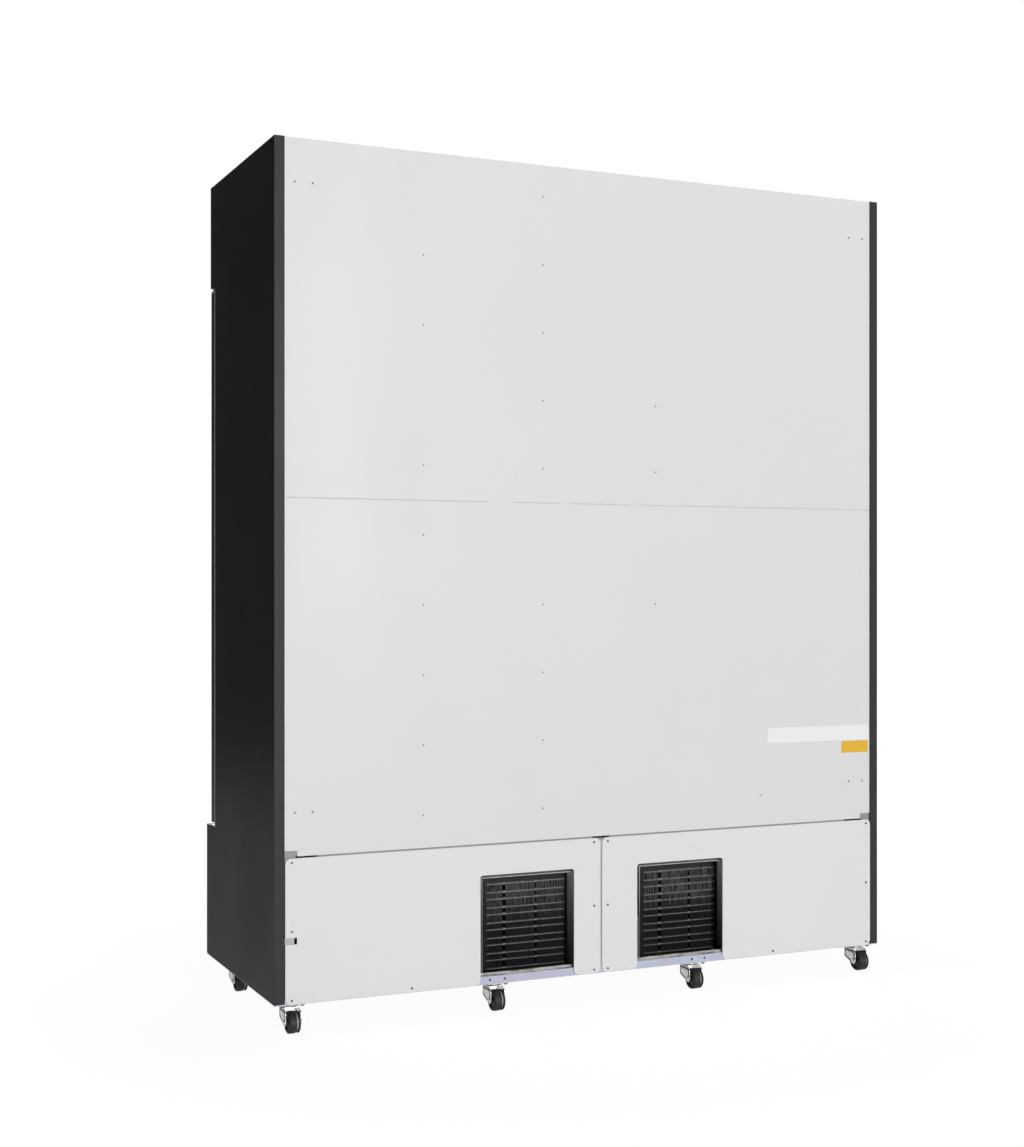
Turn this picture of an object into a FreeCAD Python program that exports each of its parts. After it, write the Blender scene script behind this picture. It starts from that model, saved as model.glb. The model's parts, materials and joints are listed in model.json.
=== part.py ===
import FreeCAD, Part
import math
import os

# Glass door refrigerator with three doors, in millimetres: +Z up, the doors face -Y.
# The origin lies on the floor, under the middle of the cabinet.

# Cabinet
width = 1615.0
height = 1991.5
rear = 296.0                      # y of the rear face
sheet = 1.2                       # steel sheet of panels and covers
flange = 24.0                     # folded edge all round a side panel
skirt = 69.5                      # lower edge of the side panels
under = 67.0                      # underside of the base frame
sill = 396.0                      # ledge over the machine compartment
seam = 1192.0                     # joint of the two back panels
canopy_under = 1738.5
body_front = rear - 515.0         # face that the doors close on
canopy_joint = rear - 541.0       # front edge of the side panels beside the canopy
canopy_front = rear - 560.0
base_front = rear - 599.0
half = width / 2

# Storage room
room_half = 766.0
room_rear = 251.0
room_neck = -178.0                # the room is higher behind this plane than its mouth
room_floor = 440.0
room_mouth_top = 1702.0
room_ceiling = 1936.0
foam_bottom = 410.0
mullion = 44.0

# Doors
door_bottom = 407.0
door_top = 1727.0
door_depth = 27.0
door_gap = 4.0
stile = 40.0
pivot_inset = 13.5                # hinge axis from the door's edge and from its face
corner = 8.0                      # radius of the door's upright edges
pane = 4.0
pin_radius = 4.0
running = 0.05                    # radial play of every pin in its hole
door_split = 269.0                # middle of the gap between two doors
door_face = canopy_front

# Rear covers and the two cooling units behind them
cover_bottom = 69.0
cover_top = 392.0
cover_depth = 3.7
cutout_top = 322.0
cutout_right = (71.0, 313.5)
cutout_left = (-340.0, -103.0)
unit_centres = (187.0, -228.0)
unit_half = 116.0
tube_rows = 12
tube_pitch = 18.0
tube_top = 294.0
tube_radius = 3.5
fin_count = 20

# Casters
caster_x = (-764.0, -271.0, 264.0, 760.5)
caster_rear = rear - 38.0
caster_front = rear - 474.0
wheel_radius = 25.0
wheel_half = 13.5
trail = 20.0
axle_radius = 3.0
crown_top = 58.0
fork_sheet = 2.0


def vec(x, y, z):
    return FreeCAD.Vector(x, y, z)


def block(x0, x1, y0, y1, z0, z1):
    return Part.makeBox(x1 - x0, y1 - y0, z1 - z0, vec(x0, y0, z0))


def across(along):
    # Two directions square to the given one.
    first = vec(0, 0, 1) if abs(along.z) < 0.5 else vec(1, 0, 0)
    return first, along.cross(first)


def ring(radius, centre, along, flats, outside):
    # Corners of a regular polygon. Its corners lie on the radius, or its flats do when it is outside.
    if outside:
        radius /= math.cos(math.pi / flats)
    first, second = across(along)
    turns = [2 * math.pi * (i + 0.5) / flats for i in range(flats)]
    return [centre + first * (radius * math.cos(a)) + second * (radius * math.sin(a)) for a in turns]


def bar(radius, start, end, flats=12, outside=False):
    # A small round bar, drawn with flats.
    run = vec(*end) - vec(*start)
    along = FreeCAD.Vector(run).normalize()
    points = ring(radius, vec(*start), along, flats, outside)
    return Part.Face(Part.makePolygon(points + points[:1])).extrude(run)


def hole(radius, start, end):
    run = vec(*end) - vec(*start)
    return Part.makeCylinder(radius, run.Length, vec(*start), run)


def side_plate(outline, x0, x1):
    # An outline of (y, z) points, extruded from x0 to x1.
    wire = Part.makePolygon([vec(x0, y, z) for y, z in outline + outline[:1]])
    return Part.Face(wire).extrude(vec(x1 - x0, 0, 0))


def flat_plate(outline, z0, z1):
    # An outline of (x, y) points, extruded from z0 to z1.
    wire = Part.makePolygon([vec(x, y, z0) for x, y in outline + outline[:1]])
    return Part.Face(wire).extrude(vec(0, 0, z1 - z0))


def turned(outline, centre, axis, flats=16, outside=False):
    # An outline of (radius, distance along the axis) points, turned about the axis in flats.
    along = vec(*axis)
    rings = [ring(r, vec(*centre) + along * d, along, flats, outside) for r, d in outline]
    faces = []
    for a, b in zip(rings, rings[1:] + rings[:1]):
        for i in range(flats):
            j = (i + 1) % flats
            corners = []
            for point in (a[i], b[i], b[j], a[j]):
                if not corners or (point - corners[-1]).Length > 1e-6 and (point - corners[0]).Length > 1e-6:
                    corners.append(point)
            if len(corners) > 2:
                faces.append(Part.Face(Part.makePolygon(corners + corners[:1])))
    solid = Part.Solid(Part.Shell(faces))
    if solid.Volume < 0:
        solid.reverse()
    return solid.removeSplitter()


def fused(pieces):
    return pieces[0].multiFuse(pieces[1:]).removeSplitter() if len(pieces) > 1 else pieces[0]


def mirrored(shape):
    return shape.mirror(vec(0, 0, 0), vec(1, 0, 0))


def rounded(shape, radius, axis, near):
    # Rounds the straight edges along one axis whose middle satisfies the test.
    chosen = []
    for edge in shape.Edges:
        run = edge.lastVertex().Point - edge.firstVertex().Point
        if run.Length > 0.5 and abs(run.dot(vec(*axis))) > 0.999 * run.Length:
            if near(edge.CenterOfMass):
                chosen.append(edge)
    return shape.makeFillet(radius, chosen)


def hexagon(radius, centre, depth):
    # A six-sided bolt head that stands out of the rear face, towards +Y.
    x, y, z = centre
    turns = [math.radians(60 * i) for i in range(6)]
    points = [vec(x + radius * math.cos(a), y, z + radius * math.sin(a)) for a in turns]
    return Part.Face(Part.makePolygon(points + points[:1])).extrude(vec(0, depth, 0))


def save(name, *solids):
    Part.makeCompound(list(solids)).exportStep(f"parts/{name}.step")


# Side panels: one sheet each, folded in all round, stepped like the cabinet's profile
def side_outline(inset):
    top = height - inset
    return [
        (rear - inset, skirt + inset),
        (rear - inset, top),
        (canopy_joint + inset, top),
        (canopy_joint + inset, canopy_under + inset),
        (body_front + inset, canopy_under + inset),
        (body_front + inset, sill - inset),
        (base_front + inset, sill - inset),
        (base_front + inset, skirt + inset),
    ]


def side_panel():
    pan = side_plate(side_outline(0), half - flange, half)
    return pan.cut(side_plate(side_outline(sheet), half - flange, half - sheet))


# Back and top panels lie under the folded edges of the side panels
panel_face = rear - sheet
panel_half = half - 7.5
seam_gap = 1.8
corner_notch = (29.0, 13.0)       # width and height of the cut at the lower corners
seam_tabs = ((230.0, 288.0), (78.0, 107.0), (-103.0, -76.0))
panel_bottom = sill - 0.5


def back_panel_upper():
    low, top = seam + seam_gap / 2, height - sheet
    return block(-panel_half, panel_half, panel_face - sheet, panel_face, low, top)


def back_panel_lower():
    top = seam - seam_gap / 2
    panel = block(-panel_half, panel_half, panel_face - sheet, panel_face, panel_bottom, top)
    notch_in = half - flange - corner_notch[0]
    for side in (-1, 1):
        x0, x1 = sorted((side * notch_in, side * (panel_half + 1)))
        panel = panel.cut(block(x0, x1, panel_face - 2, panel_face + 1, 0, panel_bottom + corner_notch[1]))
    tabs = [block(x0, x1, panel_face - sheet, panel_face, top, top + seam_gap) for x0, x1 in seam_tabs]
    return fused([panel] + tabs)


def top_panel():
    top = height - sheet
    return block(-panel_half, panel_half, canopy_joint + sheet, panel_face - sheet, top - sheet, top)


# Base frame: a tray on the casters, channels over them, and the posts and rail of the machine room
frame_sheet = 1.5
rear_lip = 86.0                   # top of the strip seen under the covers
channel_top = 81.0
frame_inner = half - flange - 0.5
post_width = 22.0
rail_holes = ((707.0, 757.0), (-26.0, 20.0), (-757.0, -707.0))


def base_frame():
    edge = half - sheet - 0.3
    front = base_front + 1.5
    tray = block(-edge, edge, front, panel_face, under, skirt)
    hollow = block(
        -edge + frame_sheet, edge - frame_sheet, front + frame_sheet, panel_face - frame_sheet,
        under + frame_sheet, skirt,
    )
    pieces = [tray.cut(hollow)]
    inner = panel_face - frame_sheet
    pieces.append(block(-frame_inner, frame_inner, inner, panel_face, under, rear_lip))
    for x in caster_x:
        channel = block(x - 19, x + 19, front + 12, inner, under + frame_sheet, channel_top)
        bore = block(x - 17, x + 17, front + 10, inner - 2, under + frame_sheet, channel_top - 2)
        pieces.append(channel.cut(bore))
    post_in = frame_inner - post_width
    for side in (-1, 1):
        x0, x1 = sorted((side * post_in, side * frame_inner))
        pieces.append(block(x0, x1, inner, panel_face, rear_lip, cover_top - 0.5))
        pieces.append(block(x0, x1, inner - frame_sheet, inner, cover_top - 12, foam_bottom - 1))
        x0, x1 = sorted((side * (frame_inner - frame_sheet), side * frame_inner))
        pieces.append(block(x0, x1, inner - 30, inner, under + frame_sheet, foam_bottom - 1))
    pieces.append(block(-22, 18, inner, panel_face, rear_lip, cover_top - 0.5))
    rail = block(-post_in, post_in, inner - frame_sheet, inner, cover_top - 7, foam_bottom - 1)
    shelf = block(-post_in, post_in, inner - 30, inner, foam_bottom - 1 - frame_sheet, foam_bottom - 1)
    for x0, x1 in rail_holes:
        rail = rail.cut(block(x0, x1, inner - 3, inner + 1, cover_top - 2, cover_top + 5))
    pieces += [rail, shelf]
    return fused(pieces)


# Rear covers: shallow trays with round corners, a cut-out for the air and a slot at the outer edge
cover_gap = 2.75
cover_radius = 13.0


def cover_block(x0, x1, cutout, inset, y0, y1):
    shape = block(x0 + inset, x1 - inset, y0, y1, cover_bottom + inset, cover_top - inset)
    left, right = cutout[0] - inset, cutout[1] + inset
    top = cutout_top + inset
    shape = shape.cut(block(left, right, y0 - 1, y1 + 1, 0, top))

    def beside_cutout(p):
        return left - 1 < p.x < right + 1

    through = (0, 1, 0)
    shape = rounded(shape, cover_radius - inset, through, lambda p: p.x < x0 + 5 or p.x > x1 - 5)
    shape = rounded(shape, 10.0 + inset, through, lambda p: abs(p.z - top) < 1 and beside_cutout(p))
    return rounded(shape, 12.0 - inset, through, lambda p: p.z < cover_bottom + 5 and beside_cutout(p))


def rear_cover(x0, x1, cutout, slot):
    face = panel_face + cover_depth
    tray = cover_block(x0, x1, cutout, 0, panel_face, face)
    tray = tray.cut(cover_block(x0, x1, cutout, sheet, panel_face - 1, face - sheet))
    if slot:
        tray = tray.cut(block(x1 - 26.9, x1 + 1, panel_face - 1, face + 1, 201.5, 216.0))
    return tray


# Screws of the back panels, covers and base
panel_screw = 2.3                 # radius of a screw head on the panels, on the covers
cover_screw = 2.8
screw_head = 1.8
column_pitch = 303.0
row_pitch = 160.5
first_row = 470.5


def rear_screws():
    heads = []

    def add(x, z, y=panel_face, radius=panel_screw):
        heads.append(hexagon(radius, (x, y, z), screw_head))

    rows = [first_row + row_pitch * i for i in range(10)]
    for side in (-1, 1):
        for z in (rows[9] - 22.5, rows[0] + 22.5):
            add(side * 760, z)
            add(side * 719, z)
    columns = {1.5: (0, 1, 2, 3, 4, 5, 7, 8), 0.5: (0, 1, 2, 3, 5, 6, 7, 8, 9), -0.5: (3, 5, 6), -1.5: (0,)}
    for place, picked in columns.items():
        for i in picked:
            add(place * column_pitch, rows[i])
    cover_face = panel_face + cover_depth
    for x in (768.0, 17.5, -19.5, -770.0):
        for z in (77.0, 230.0, 382.5):
            add(x, z, cover_face, cover_screw)
    for x in (484.0, -487.0):
        add(x, 77.5, cover_face, cover_screw)
    for x in (288.0, 250.0, -254.0, -290.0):
        add(x, 77.0, radius=cover_screw)
    return heads


# Insulated walls and the liner of the storage room
def room(inset):
    low, top, edge = room_floor + inset, room_ceiling - inset, room_half - inset
    tall = block(-edge, edge, room_neck + inset, room_rear - inset, low, top)
    mouth = block(-edge, edge, body_front - 1, room_neck + 5, low, room_mouth_top - inset)
    return tall.fuse(mouth)


frame_plate = 5.2


def foam_body():
    outer = half - sheet - 0.1
    front = body_front + frame_plate
    shell = block(-outer, outer, front, panel_face - sheet - 0.1, foam_bottom, height - 2 * sheet)
    return shell.cut(room(0))


def liner():
    shell = room(0).cut(room(sheet))
    return shell.cut(block(-half, half, body_front - 2, body_front + frame_plate, 0, height))


def front_frame():
    edge = half - flange - 0.2
    plate = block(-edge, edge, body_front, body_front + frame_plate, sill - sheet, canopy_under - sheet)
    ledge = block(-edge, edge, base_front + sheet + 0.3, body_front + 1, sill - sheet, sill)
    frame = plate.fuse(ledge)
    inner = door_split + mullion / 2
    outer = room_half - sheet - 3
    centre = door_split - mullion / 2
    for x0, x1 in ((-outer, -inner), (-centre, centre), (inner, outer)):
        frame = frame.cut(block(x0, x1, body_front - 1, body_front + 9, room_floor, room_mouth_top))
    posts = []
    for side in (-1, 1):
        x = side * door_split
        posts.append(block(
            x - 20, x + 20, body_front, body_front + 35, room_floor + sheet, room_mouth_top - sheet,
        ))
    return fused([frame] + posts)


# Canopy with its sign panel, and the lamp strips of canopy and room
sign_half = 770.0
sign_z = (1772.0, 1958.0)


def canopy_housing():
    face = block(-half, half, canopy_front, canopy_joint, canopy_under, height)
    tray = block(-half + 2, half - 2, canopy_front + 2, canopy_joint + 1, canopy_under + 2, height - 2)
    window = block(-sign_half, sign_half, canopy_front - 1, canopy_front + 3, sign_z[0], sign_z[1])
    shell = rounded(face, 4.0, (1, 0, 0), lambda p: p.y < canopy_front + 1)
    inner = half - flange - 0.5
    back = block(-inner, inner, canopy_joint, body_front, canopy_under + 0.1, canopy_under + 2)
    return fused([shell.cut(tray).cut(window), back])


def sign_panel():
    y0 = canopy_front + 2
    return block(-sign_half - 8, sign_half + 8, y0, y0 + 3, sign_z[0] - 8, sign_z[1] + 8)


def led_strips():
    lamps = []
    z = (sign_z[0] + sign_z[1]) / 2
    lamps.append(block(-720, 720, body_front + 1, body_front + frame_plate, z - 12, z + 12))
    low, high = room_floor + 30, room_mouth_top - 30
    back = body_front + 35
    for side in (-1, 1):
        x = side * door_split
        lamps.append(rounded(
            block(x - 9, x + 9, back, back + 10, low, high), 4.0, (0, 0, 1), lambda p, b=back: p.y > b + 9,
        ))
        x0, x1 = sorted((side * (room_half - sheet), side * (room_half - sheet - 10)))
        lamps.append(block(x0, x1, back - 9, back + 9, low, high))
    return lamps


# Louvred front of the machine compartment
louvre_rows = 8
louvre_pitch = 32.0
louvre_first = 112.0


def front_grille():
    edge = half - flange - 0.2
    front, back = base_front, base_front + 12
    top = sill - sheet
    panel = block(-edge, edge, front, back, skirt, top)
    panel = panel.cut(block(-edge + 2, edge - 2, front + 2, back + 1, skirt + 2, top - 2))
    span = 2 * edge / 3
    for bay in (-1, 0, 1):
        x0, x1 = bay * span - span / 2 + 28, bay * span + span / 2 - 28
        for i in range(louvre_rows):
            z = louvre_first + louvre_pitch * i
            slit = [(front - 1, z), (back + 1, z + 6), (back + 1, z + 18), (front - 1, z + 12)]
            panel = panel.cut(side_plate(slit, x0, x1))
    return panel


# Doors: frame with two panes let into it, gasket, handle
def door_span(place):
    # Left and right edge of the door at place -1, 0 or 1, and the x of its hinge axis.
    if place == 0:
        edge = door_split - door_gap / 2
        return -edge, edge, edge - pivot_inset
    inner, outer = door_split + door_gap / 2, half
    if place > 0:
        return inner, outer, outer - pivot_inset
    return -outer, -inner, -outer + pivot_inset


pivot_y = door_face + pivot_inset


def door_frame(place):
    x0, x1, pivot = door_span(place)
    y0, y1 = door_face, door_face + door_depth
    frame = block(x0, x1, y0, y1, door_bottom, door_top)
    frame = rounded(frame, corner, (0, 0, 1), lambda p: p.y < y0 + 1)
    low, high = door_bottom + stile, door_top - stile
    frame = frame.cut(block(x0 + stile, x1 - stile, y0 - 1, y1 + 1, low, high))
    let_in = 12.0
    for y in (y0 + 3, y1 - 3 - pane):
        frame = frame.cut(block(
            x0 + stile - let_in, x1 - stile + let_in, y, y + pane, low - let_in, high + let_in,
        ))
    for z in (door_bottom - 1, door_top - 14):
        frame = frame.cut(hole(pin_radius + running, (pivot, pivot_y, z), (pivot, pivot_y, z + 15)))
    return frame


def door_glass(place):
    x0, x1 = door_span(place)[:2]
    reach = stile - 11.5
    panes = []
    for y in (door_face + 3, door_face + door_depth - 3 - pane):
        panes.append(block(
            x0 + reach, x1 - reach, y + 0.1, y + pane - 0.1, door_bottom + reach, door_top - reach,
        ))
    return panes


gasket_width = 26.0
gasket_depth = 16.5


def door_gasket(place):
    x0, x1 = door_span(place)[:2]
    y0 = door_face + door_depth
    y1 = y0 + gasket_depth
    seal = block(x0 + 1, x1 - 1, y0, y1, door_bottom + 1, door_top - 1)
    seal = rounded(seal, corner, (0, 0, 1), lambda p: p.y > y1 - 1)

    def inside(inset, low, high):
        return block(x0 + inset, x1 - inset, low, high, door_bottom + inset, door_top - inset)

    fold = inside(9, y1 - 10, y1 - 6).cut(inside(gasket_width - 3, y1 - 11, y1 - 5))
    return seal.cut(inside(gasket_width, y0 - 1, y1 + 1)).cut(fold)


handle_z = (860.0, 1280.0)
handle_reach = 38.0


def door_handle(place):
    x0, x1, pivot = door_span(place)
    x = x0 + 22 if pivot > (x0 + x1) / 2 else x1 - 22
    front = door_face - handle_reach
    grip = block(x - 9, x + 9, front, front + 14, *handle_z)
    grip = rounded(grip, 5.0, (0, 0, 1), lambda p: p.y < front + 1)
    posts = []
    for z in (handle_z[0] + 28, handle_z[1] - 28):
        posts.append(block(x - 6, x + 6, front + 12, door_face, z - 8, z + 8))
    return fused([grip] + posts)


# Hinges: a plate with a pin over and under each door
plate = 3.0
hinge_wide = 24.0


def hinge_plates():
    pieces = []
    for place in (-1, 0, 1):
        pivot = door_span(place)[2]
        out = -1 if place < 0 else 1
        x0, x1 = sorted((pivot - out * hinge_wide, pivot + out * 12))
        lip0, lip1 = sorted((pivot + out * 9, pivot + out * 12))
        root, tip = body_front, door_face + 2
        top = door_top + 2.5
        upper = [
            block(x0, x1, tip, root, top, top + plate),
            block(x0, x1, root - plate, root, top, canopy_under - 0.5),
            block(lip0, lip1, root - 26, root, top, canopy_under - 0.5),
            bar(pin_radius, (pivot, pivot_y, door_top - 13), (pivot, pivot_y, top)),
        ]
        low = sill
        lower = [
            block(x0, x1, tip, root, low, low + plate),
            block(x0, x1, root - plate, root, low, low + 9.5),
            block(lip0, lip1, root - 13, root, low, low + 9.5),
            bar(7.0, (pivot, pivot_y, low), (pivot, pivot_y, door_bottom - 0.3)),
            bar(pin_radius, (pivot, pivot_y, low), (pivot, pivot_y, door_bottom + 12)),
        ]
        pieces += [fused(upper), fused(lower)]
    return pieces


# Wire shelves lie on brackets, which hang on slotted uprights at the rear
shelf_levels = (700.0, 950.0, 1200.0, 1450.0)
shelf_front = -150.0
shelf_back = 236.0
shelf_thick = 6.0
shelf_bars = 6
bay = 2 * (room_half - sheet) / 3


def shelves():
    pieces = []
    for place in (-1, 0, 1):
        x0, x1 = place * bay - bay / 2 + 6, place * bay + bay / 2 - 6
        pitch = (x1 - x0 - 4) / shelf_bars
        for z in shelf_levels:
            deck = block(x0, x1, shelf_front, shelf_back, z, z + shelf_thick)
            for i in range(shelf_bars):
                left = x0 + 4 + pitch * i
                deck = deck.cut(block(
                    left, left + pitch - 4, shelf_front + 6, shelf_back - 6, z - 1, z + shelf_thick + 1,
                ))
            pieces.append(deck)
    return pieces


def shelf_standards():
    pieces = []
    low, high = room_floor + 20, room_mouth_top
    y1 = room_rear - sheet
    y0 = y1 - 12
    for place in (-1.5, -0.5, 0.5, 1.5):
        reach = room_half - sheet - 10
        x = max(-reach, min(reach, place * bay))
        channel = block(x - 10, x + 10, y0, y1, low, high)
        pieces.append(channel.cut(block(x - 8, x + 8, y0 + 2, y1 + 1, low - 1, high + 1)))
        for side in (-1, 1):
            if abs(place + side) > 1.6:
                continue
            x0, x1 = sorted((x + side * 6.5, x + side * 9.5))
            for z in shelf_levels:
                tip = shelf_front + 40
                arm = [(y0, z - 45), (y0, z), (tip, z), (tip, z - 12), (y0 - 40, z - 20)]
                pieces.append(side_plate(arm, x0, x1))
    return pieces


# Evaporator under the ceiling: coil, housing with two round mouths, two fans
evaporator_half = 560.0
fan_x = 250.0
evaporator_z = 1854.4
evaporator_front = -150.0
mouth_radius = 76.0
coil_face = 40.0


def evaporator_cover():
    low, top = 1752.0, room_ceiling - sheet
    back = room_rear - sheet - 20
    front = evaporator_front
    outline = [(back, low), (back, top), (front, top), (front, low + 22), (front + 30, low)]
    inner = [
        (back - 2, low + 2), (back - 2, top + 1),
        (front + 2, top + 1), (front + 2, low + 23), (front + 31, low + 2),
    ]
    e = evaporator_half
    shell = side_plate(outline, -e, e).cut(side_plate(inner, -e + 2, e - 2))
    for side in (-1, 1):
        x = side * fan_x
        start, end = (x, front - 1, evaporator_z), (x, front + 3, evaporator_z)
        shell = shell.cut(bar(mouth_radius, start, end, 24, True))
        for i in range(3):
            z = low + 60 + 30 * i
            slot0, slot1 = sorted((side * (e - 3), side * (e + 1)))
            shell = shell.cut(block(slot0, slot1, -60, 160, z, z + 12))
    return shell


def fin_stack(x0, x1, y0, y1, z0, z1, count, thickness):
    step = (x1 - x0 - thickness) / (count - 1)
    return [block(x0 + step * i, x0 + step * i + thickness, y0, y1, z0, z1) for i in range(count)]


def evaporator_coil():
    e = evaporator_half - 60
    top = room_ceiling - sheet
    core = block(-e, e, coil_face, 170, 1775, top)
    slots = 14
    step = 2 * e / slots
    for i in range(slots):
        left = -e + 6 + step * i
        core = core.cut(block(left, left + step - 12, coil_face - 10, coil_face + 20, 1770, top - 8))
    return core


# A fan: a hub with flat pitched blades, turning about Y
def fan(x, y, z, radius, hub, depth, blades):
    root, chord, pitch = hub - 3.0, radius * 0.66, 28.0
    tip = math.sqrt(radius ** 2 - (chord / 2) ** 2)
    edge = [(root, chord * 0.2), (tip, chord / 2), (radius, chord / 5)]
    blade = flat_plate([(x, -y) for x, y in edge] + edge[::-1], -0.8, 0.8)
    blade.rotate(vec(0, 0, 0), vec(1, 0, 0), 90 - pitch)
    pieces = [bar(hub, (0, -depth / 2, 0), (0, depth / 2, 0))]
    for i in range(blades):
        copy = blade.copy()
        copy.rotate(vec(0, 0, 0), vec(0, 1, 0), 360.0 / blades * i)
        pieces.append(copy)
    wheel = fused(pieces).cut(hole(axle_radius + running, (0, -depth, 0), (0, depth, 0)))
    wheel.translate(vec(x, y, z))
    return wheel


# Cooling units: fins on tubes, shroud with the fan's mouth, motor, compressor, tray
coil_front = rear - 46.0
coil_depth = 44.0
row_depths = (5.0, 27.0)          # front and back tube row, behind the fins' edges
tray_top = 83.0
coil_bottom = tray_top + 3
coil_top = 300.0
unit_top = 314.0
upright_top = 197.0               # bracket at one end of the tray's rear edge
fan_z = 190.0
fan_y = rear - 124.0
fan_radius = 98.0
shroud_back = rear - 121.0


def coil_ends(centre):
    return centre - unit_half + 1.5, centre + unit_half - 26.0


def condenser_fins():
    pieces = []
    for centre in unit_centres:
        x0, x1 = coil_ends(centre)
        y0, y1 = coil_front - coil_depth, coil_front
        pieces += fin_stack(x0, x1, y0, y1, coil_bottom, coil_top, fin_count, 0.8)
    return pieces


def condenser_tubes():
    pieces = []
    for centre in unit_centres:
        x0, x1 = coil_ends(centre)
        for row, depth in enumerate(row_depths):
            y = coil_front - depth
            for i in range(tube_rows - row):
                z = tube_top - tube_pitch * (i + row / 2)
                pieces.append(bar(tube_radius, (centre - unit_half, y, z), (x1 + 6, y, z), 6))
    return pieces


def condenser_shroud(centre):
    x0, x1 = centre - unit_half - sheet, centre + unit_half + sheet
    outer = block(x0, x1, shroud_back, rear - 12, tray_top, unit_top)
    inner = block(x0 + sheet, x1 - sheet, shroud_back + sheet, rear, tray_top - 1, unit_top - sheet)
    mouth = bar(fan_radius + 4, (centre, shroud_back - 1, fan_z), (centre, shroud_back + 3, fan_z), 24, True)
    return outer.cut(inner).cut(mouth)


def fan_motor(centre):
    back = fan_y - 18
    motor = block(centre - 30, centre + 30, back - 50, back, fan_z - 30, fan_z + 30)
    shaft = bar(axle_radius, (centre, back - 1, fan_z), (centre, fan_y + 12, fan_z))
    x0, x1, top = centre - 6, centre + 6, unit_top
    arms = [
        block(x0, x1, back - 54, back - 50, tray_top, top),
        block(x0, x1, back - 54, shroud_back, top - 4, top),
        block(x0, x1, back - 54, shroud_back, tray_top, tray_top + 4),
    ]
    return fused([motor, shaft] + arms)


def evaporator_motor(x):
    face = evaporator_front + 30
    z = evaporator_z
    motor = block(x - 22, x + 22, face, face + 40, z - 22, z + 22)
    shaft = bar(axle_radius, (x, face - 24, z), (x, face + 1, z))
    arm = block(x - 8, x + 8, face + 39, coil_face, z - 3, z + 3)
    return fused([motor, shaft, arm])


compressor_y = -40.0


def compressor(centre):
    z0 = tray_top + 14
    pot = [(0, 0), (64, 0), (76, 14), (76, 94), (80, 94), (80, 99)]
    pot += [(76, 99), (76, 130), (62, 156), (32, 170), (0, 173)]
    body = turned(pot, (centre, compressor_y, z0), (0, 0, 1))
    feet = block(centre - 95, centre + 95, compressor_y - 70, compressor_y + 70, z0 - 4, z0 + 0.5)
    grommets = []
    for dx in (-78, 78):
        for dy in (-53, 53):
            x, y = centre + dx, compressor_y + dy
            grommets.append(bar(11.0, (x, y, tray_top), (x, y, z0 - 4), 8))
    return fused([body, feet] + grommets)


def unit_tray(centre):
    x0, x1 = centre - unit_half + 1, centre + unit_half - 1
    y0, y1 = compressor_y - 100, rear - 7
    foot, deck, lip = under + frame_sheet, channel_top, 93.0
    return fused([
        block(x0, x1, y0, y1, deck, tray_top),
        block(x0, x0 + frame_sheet, y0, y1, foot, tray_top),
        block(x1 - frame_sheet, x1, y0, y1, foot, tray_top),
        block(x0, x1, y1 - sheet, y1, deck, lip),
        block(x0, x1, y1 - 4, y1, lip - sheet, lip),
        block(x0, x1, y0, y0 + sheet, deck, lip),
        block(x1 - 2, x1 + 10, y1 - sheet, y1, deck, upright_top),
    ])


# Casters: plate with its race and kingpin, forked bracket with the axle bolt, wheel
def caster_places():
    names = ("left", "inner_left", "inner_right", "right")
    for row, y in (("rear", caster_rear), ("front", caster_front)):
        for name, x in zip(names, caster_x):
            yield f"{row}_{name}", x, y


def caster_plate(x, y):
    base = block(x - 30, x + 30, y - 30, y + 30, under - 3, under)
    head = [(0, -8), (6.5, -8), (6.5, -5.8), (pin_radius, -5.8)]
    race = [(pin_radius, -2.7), (17, -2.7), (17, 3), (0, 3)]
    return fused([base, turned(head + race, (x, y, under - 6), (0, 0, 1), 12)])


def caster_fork(x, y):
    inner = wheel_half + 0.3
    outer = inner + fork_sheet
    axle_y, axle_z, boss = y + trail, wheel_radius, 8.0
    brow = (y - 19.0, crown_top - 22.0)
    dy, dz = axle_y - brow[0], axle_z - brow[1]
    reach = math.hypot(dy, dz)
    slope = math.atan2(dz, dy) - math.asin(boss / reach)
    run = math.sqrt(reach ** 2 - boss ** 2)
    touch = (brow[0] + run * math.cos(slope), brow[1] + run * math.sin(slope))
    shoulder = (axle_y + boss, crown_top - 9)
    corners = [brow, (y - 19.0, crown_top), (y + 21.0, crown_top), shoulder, (axle_y + boss, axle_z)]
    first = math.atan2(touch[1] - axle_z, touch[0] - axle_y)
    steps = 4
    for i in range(1, steps):
        turn = first * i / steps
        corners.append((axle_y + boss * math.cos(turn), axle_z + boss * math.sin(turn)))
    solid = side_plate([touch] + corners, x - outer, x + outer)
    solid = solid.cut(block(x - inner, x + inner, y - 40, y + 60, 0, crown_top - 2.5))
    solid = solid.cut(hole(pin_radius + running, (x, y, 0), (x, y, 70)))
    axle = bar(axle_radius, (x - outer - 2, axle_y, axle_z), (x + outer + 2, axle_y, axle_z))
    fork = solid.cut(axle)
    heads = []
    for side in (-1, 1):
        start = x + side * outer
        heads.append(bar(5.5, (start, axle_y, axle_z), (start + side * 3.0, axle_y, axle_z), 6))
    return [fork, fused([axle] + heads)]


def caster_wheel(x, y):
    tread, side = wheel_radius, wheel_half
    profile = [(0, -side), (tread - 2, -side), (tread, 2 - side)]
    profile += [(r, -d) for r, d in reversed(profile)]
    wheel = turned(profile, (x, y + trail, tread), (1, 0, 0), 24, True)
    return wheel.cut(hole(axle_radius + running, (x - 20, y + trail, tread), (x + 20, y + trail, tread)))


os.makedirs("parts", exist_ok=True)

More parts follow.
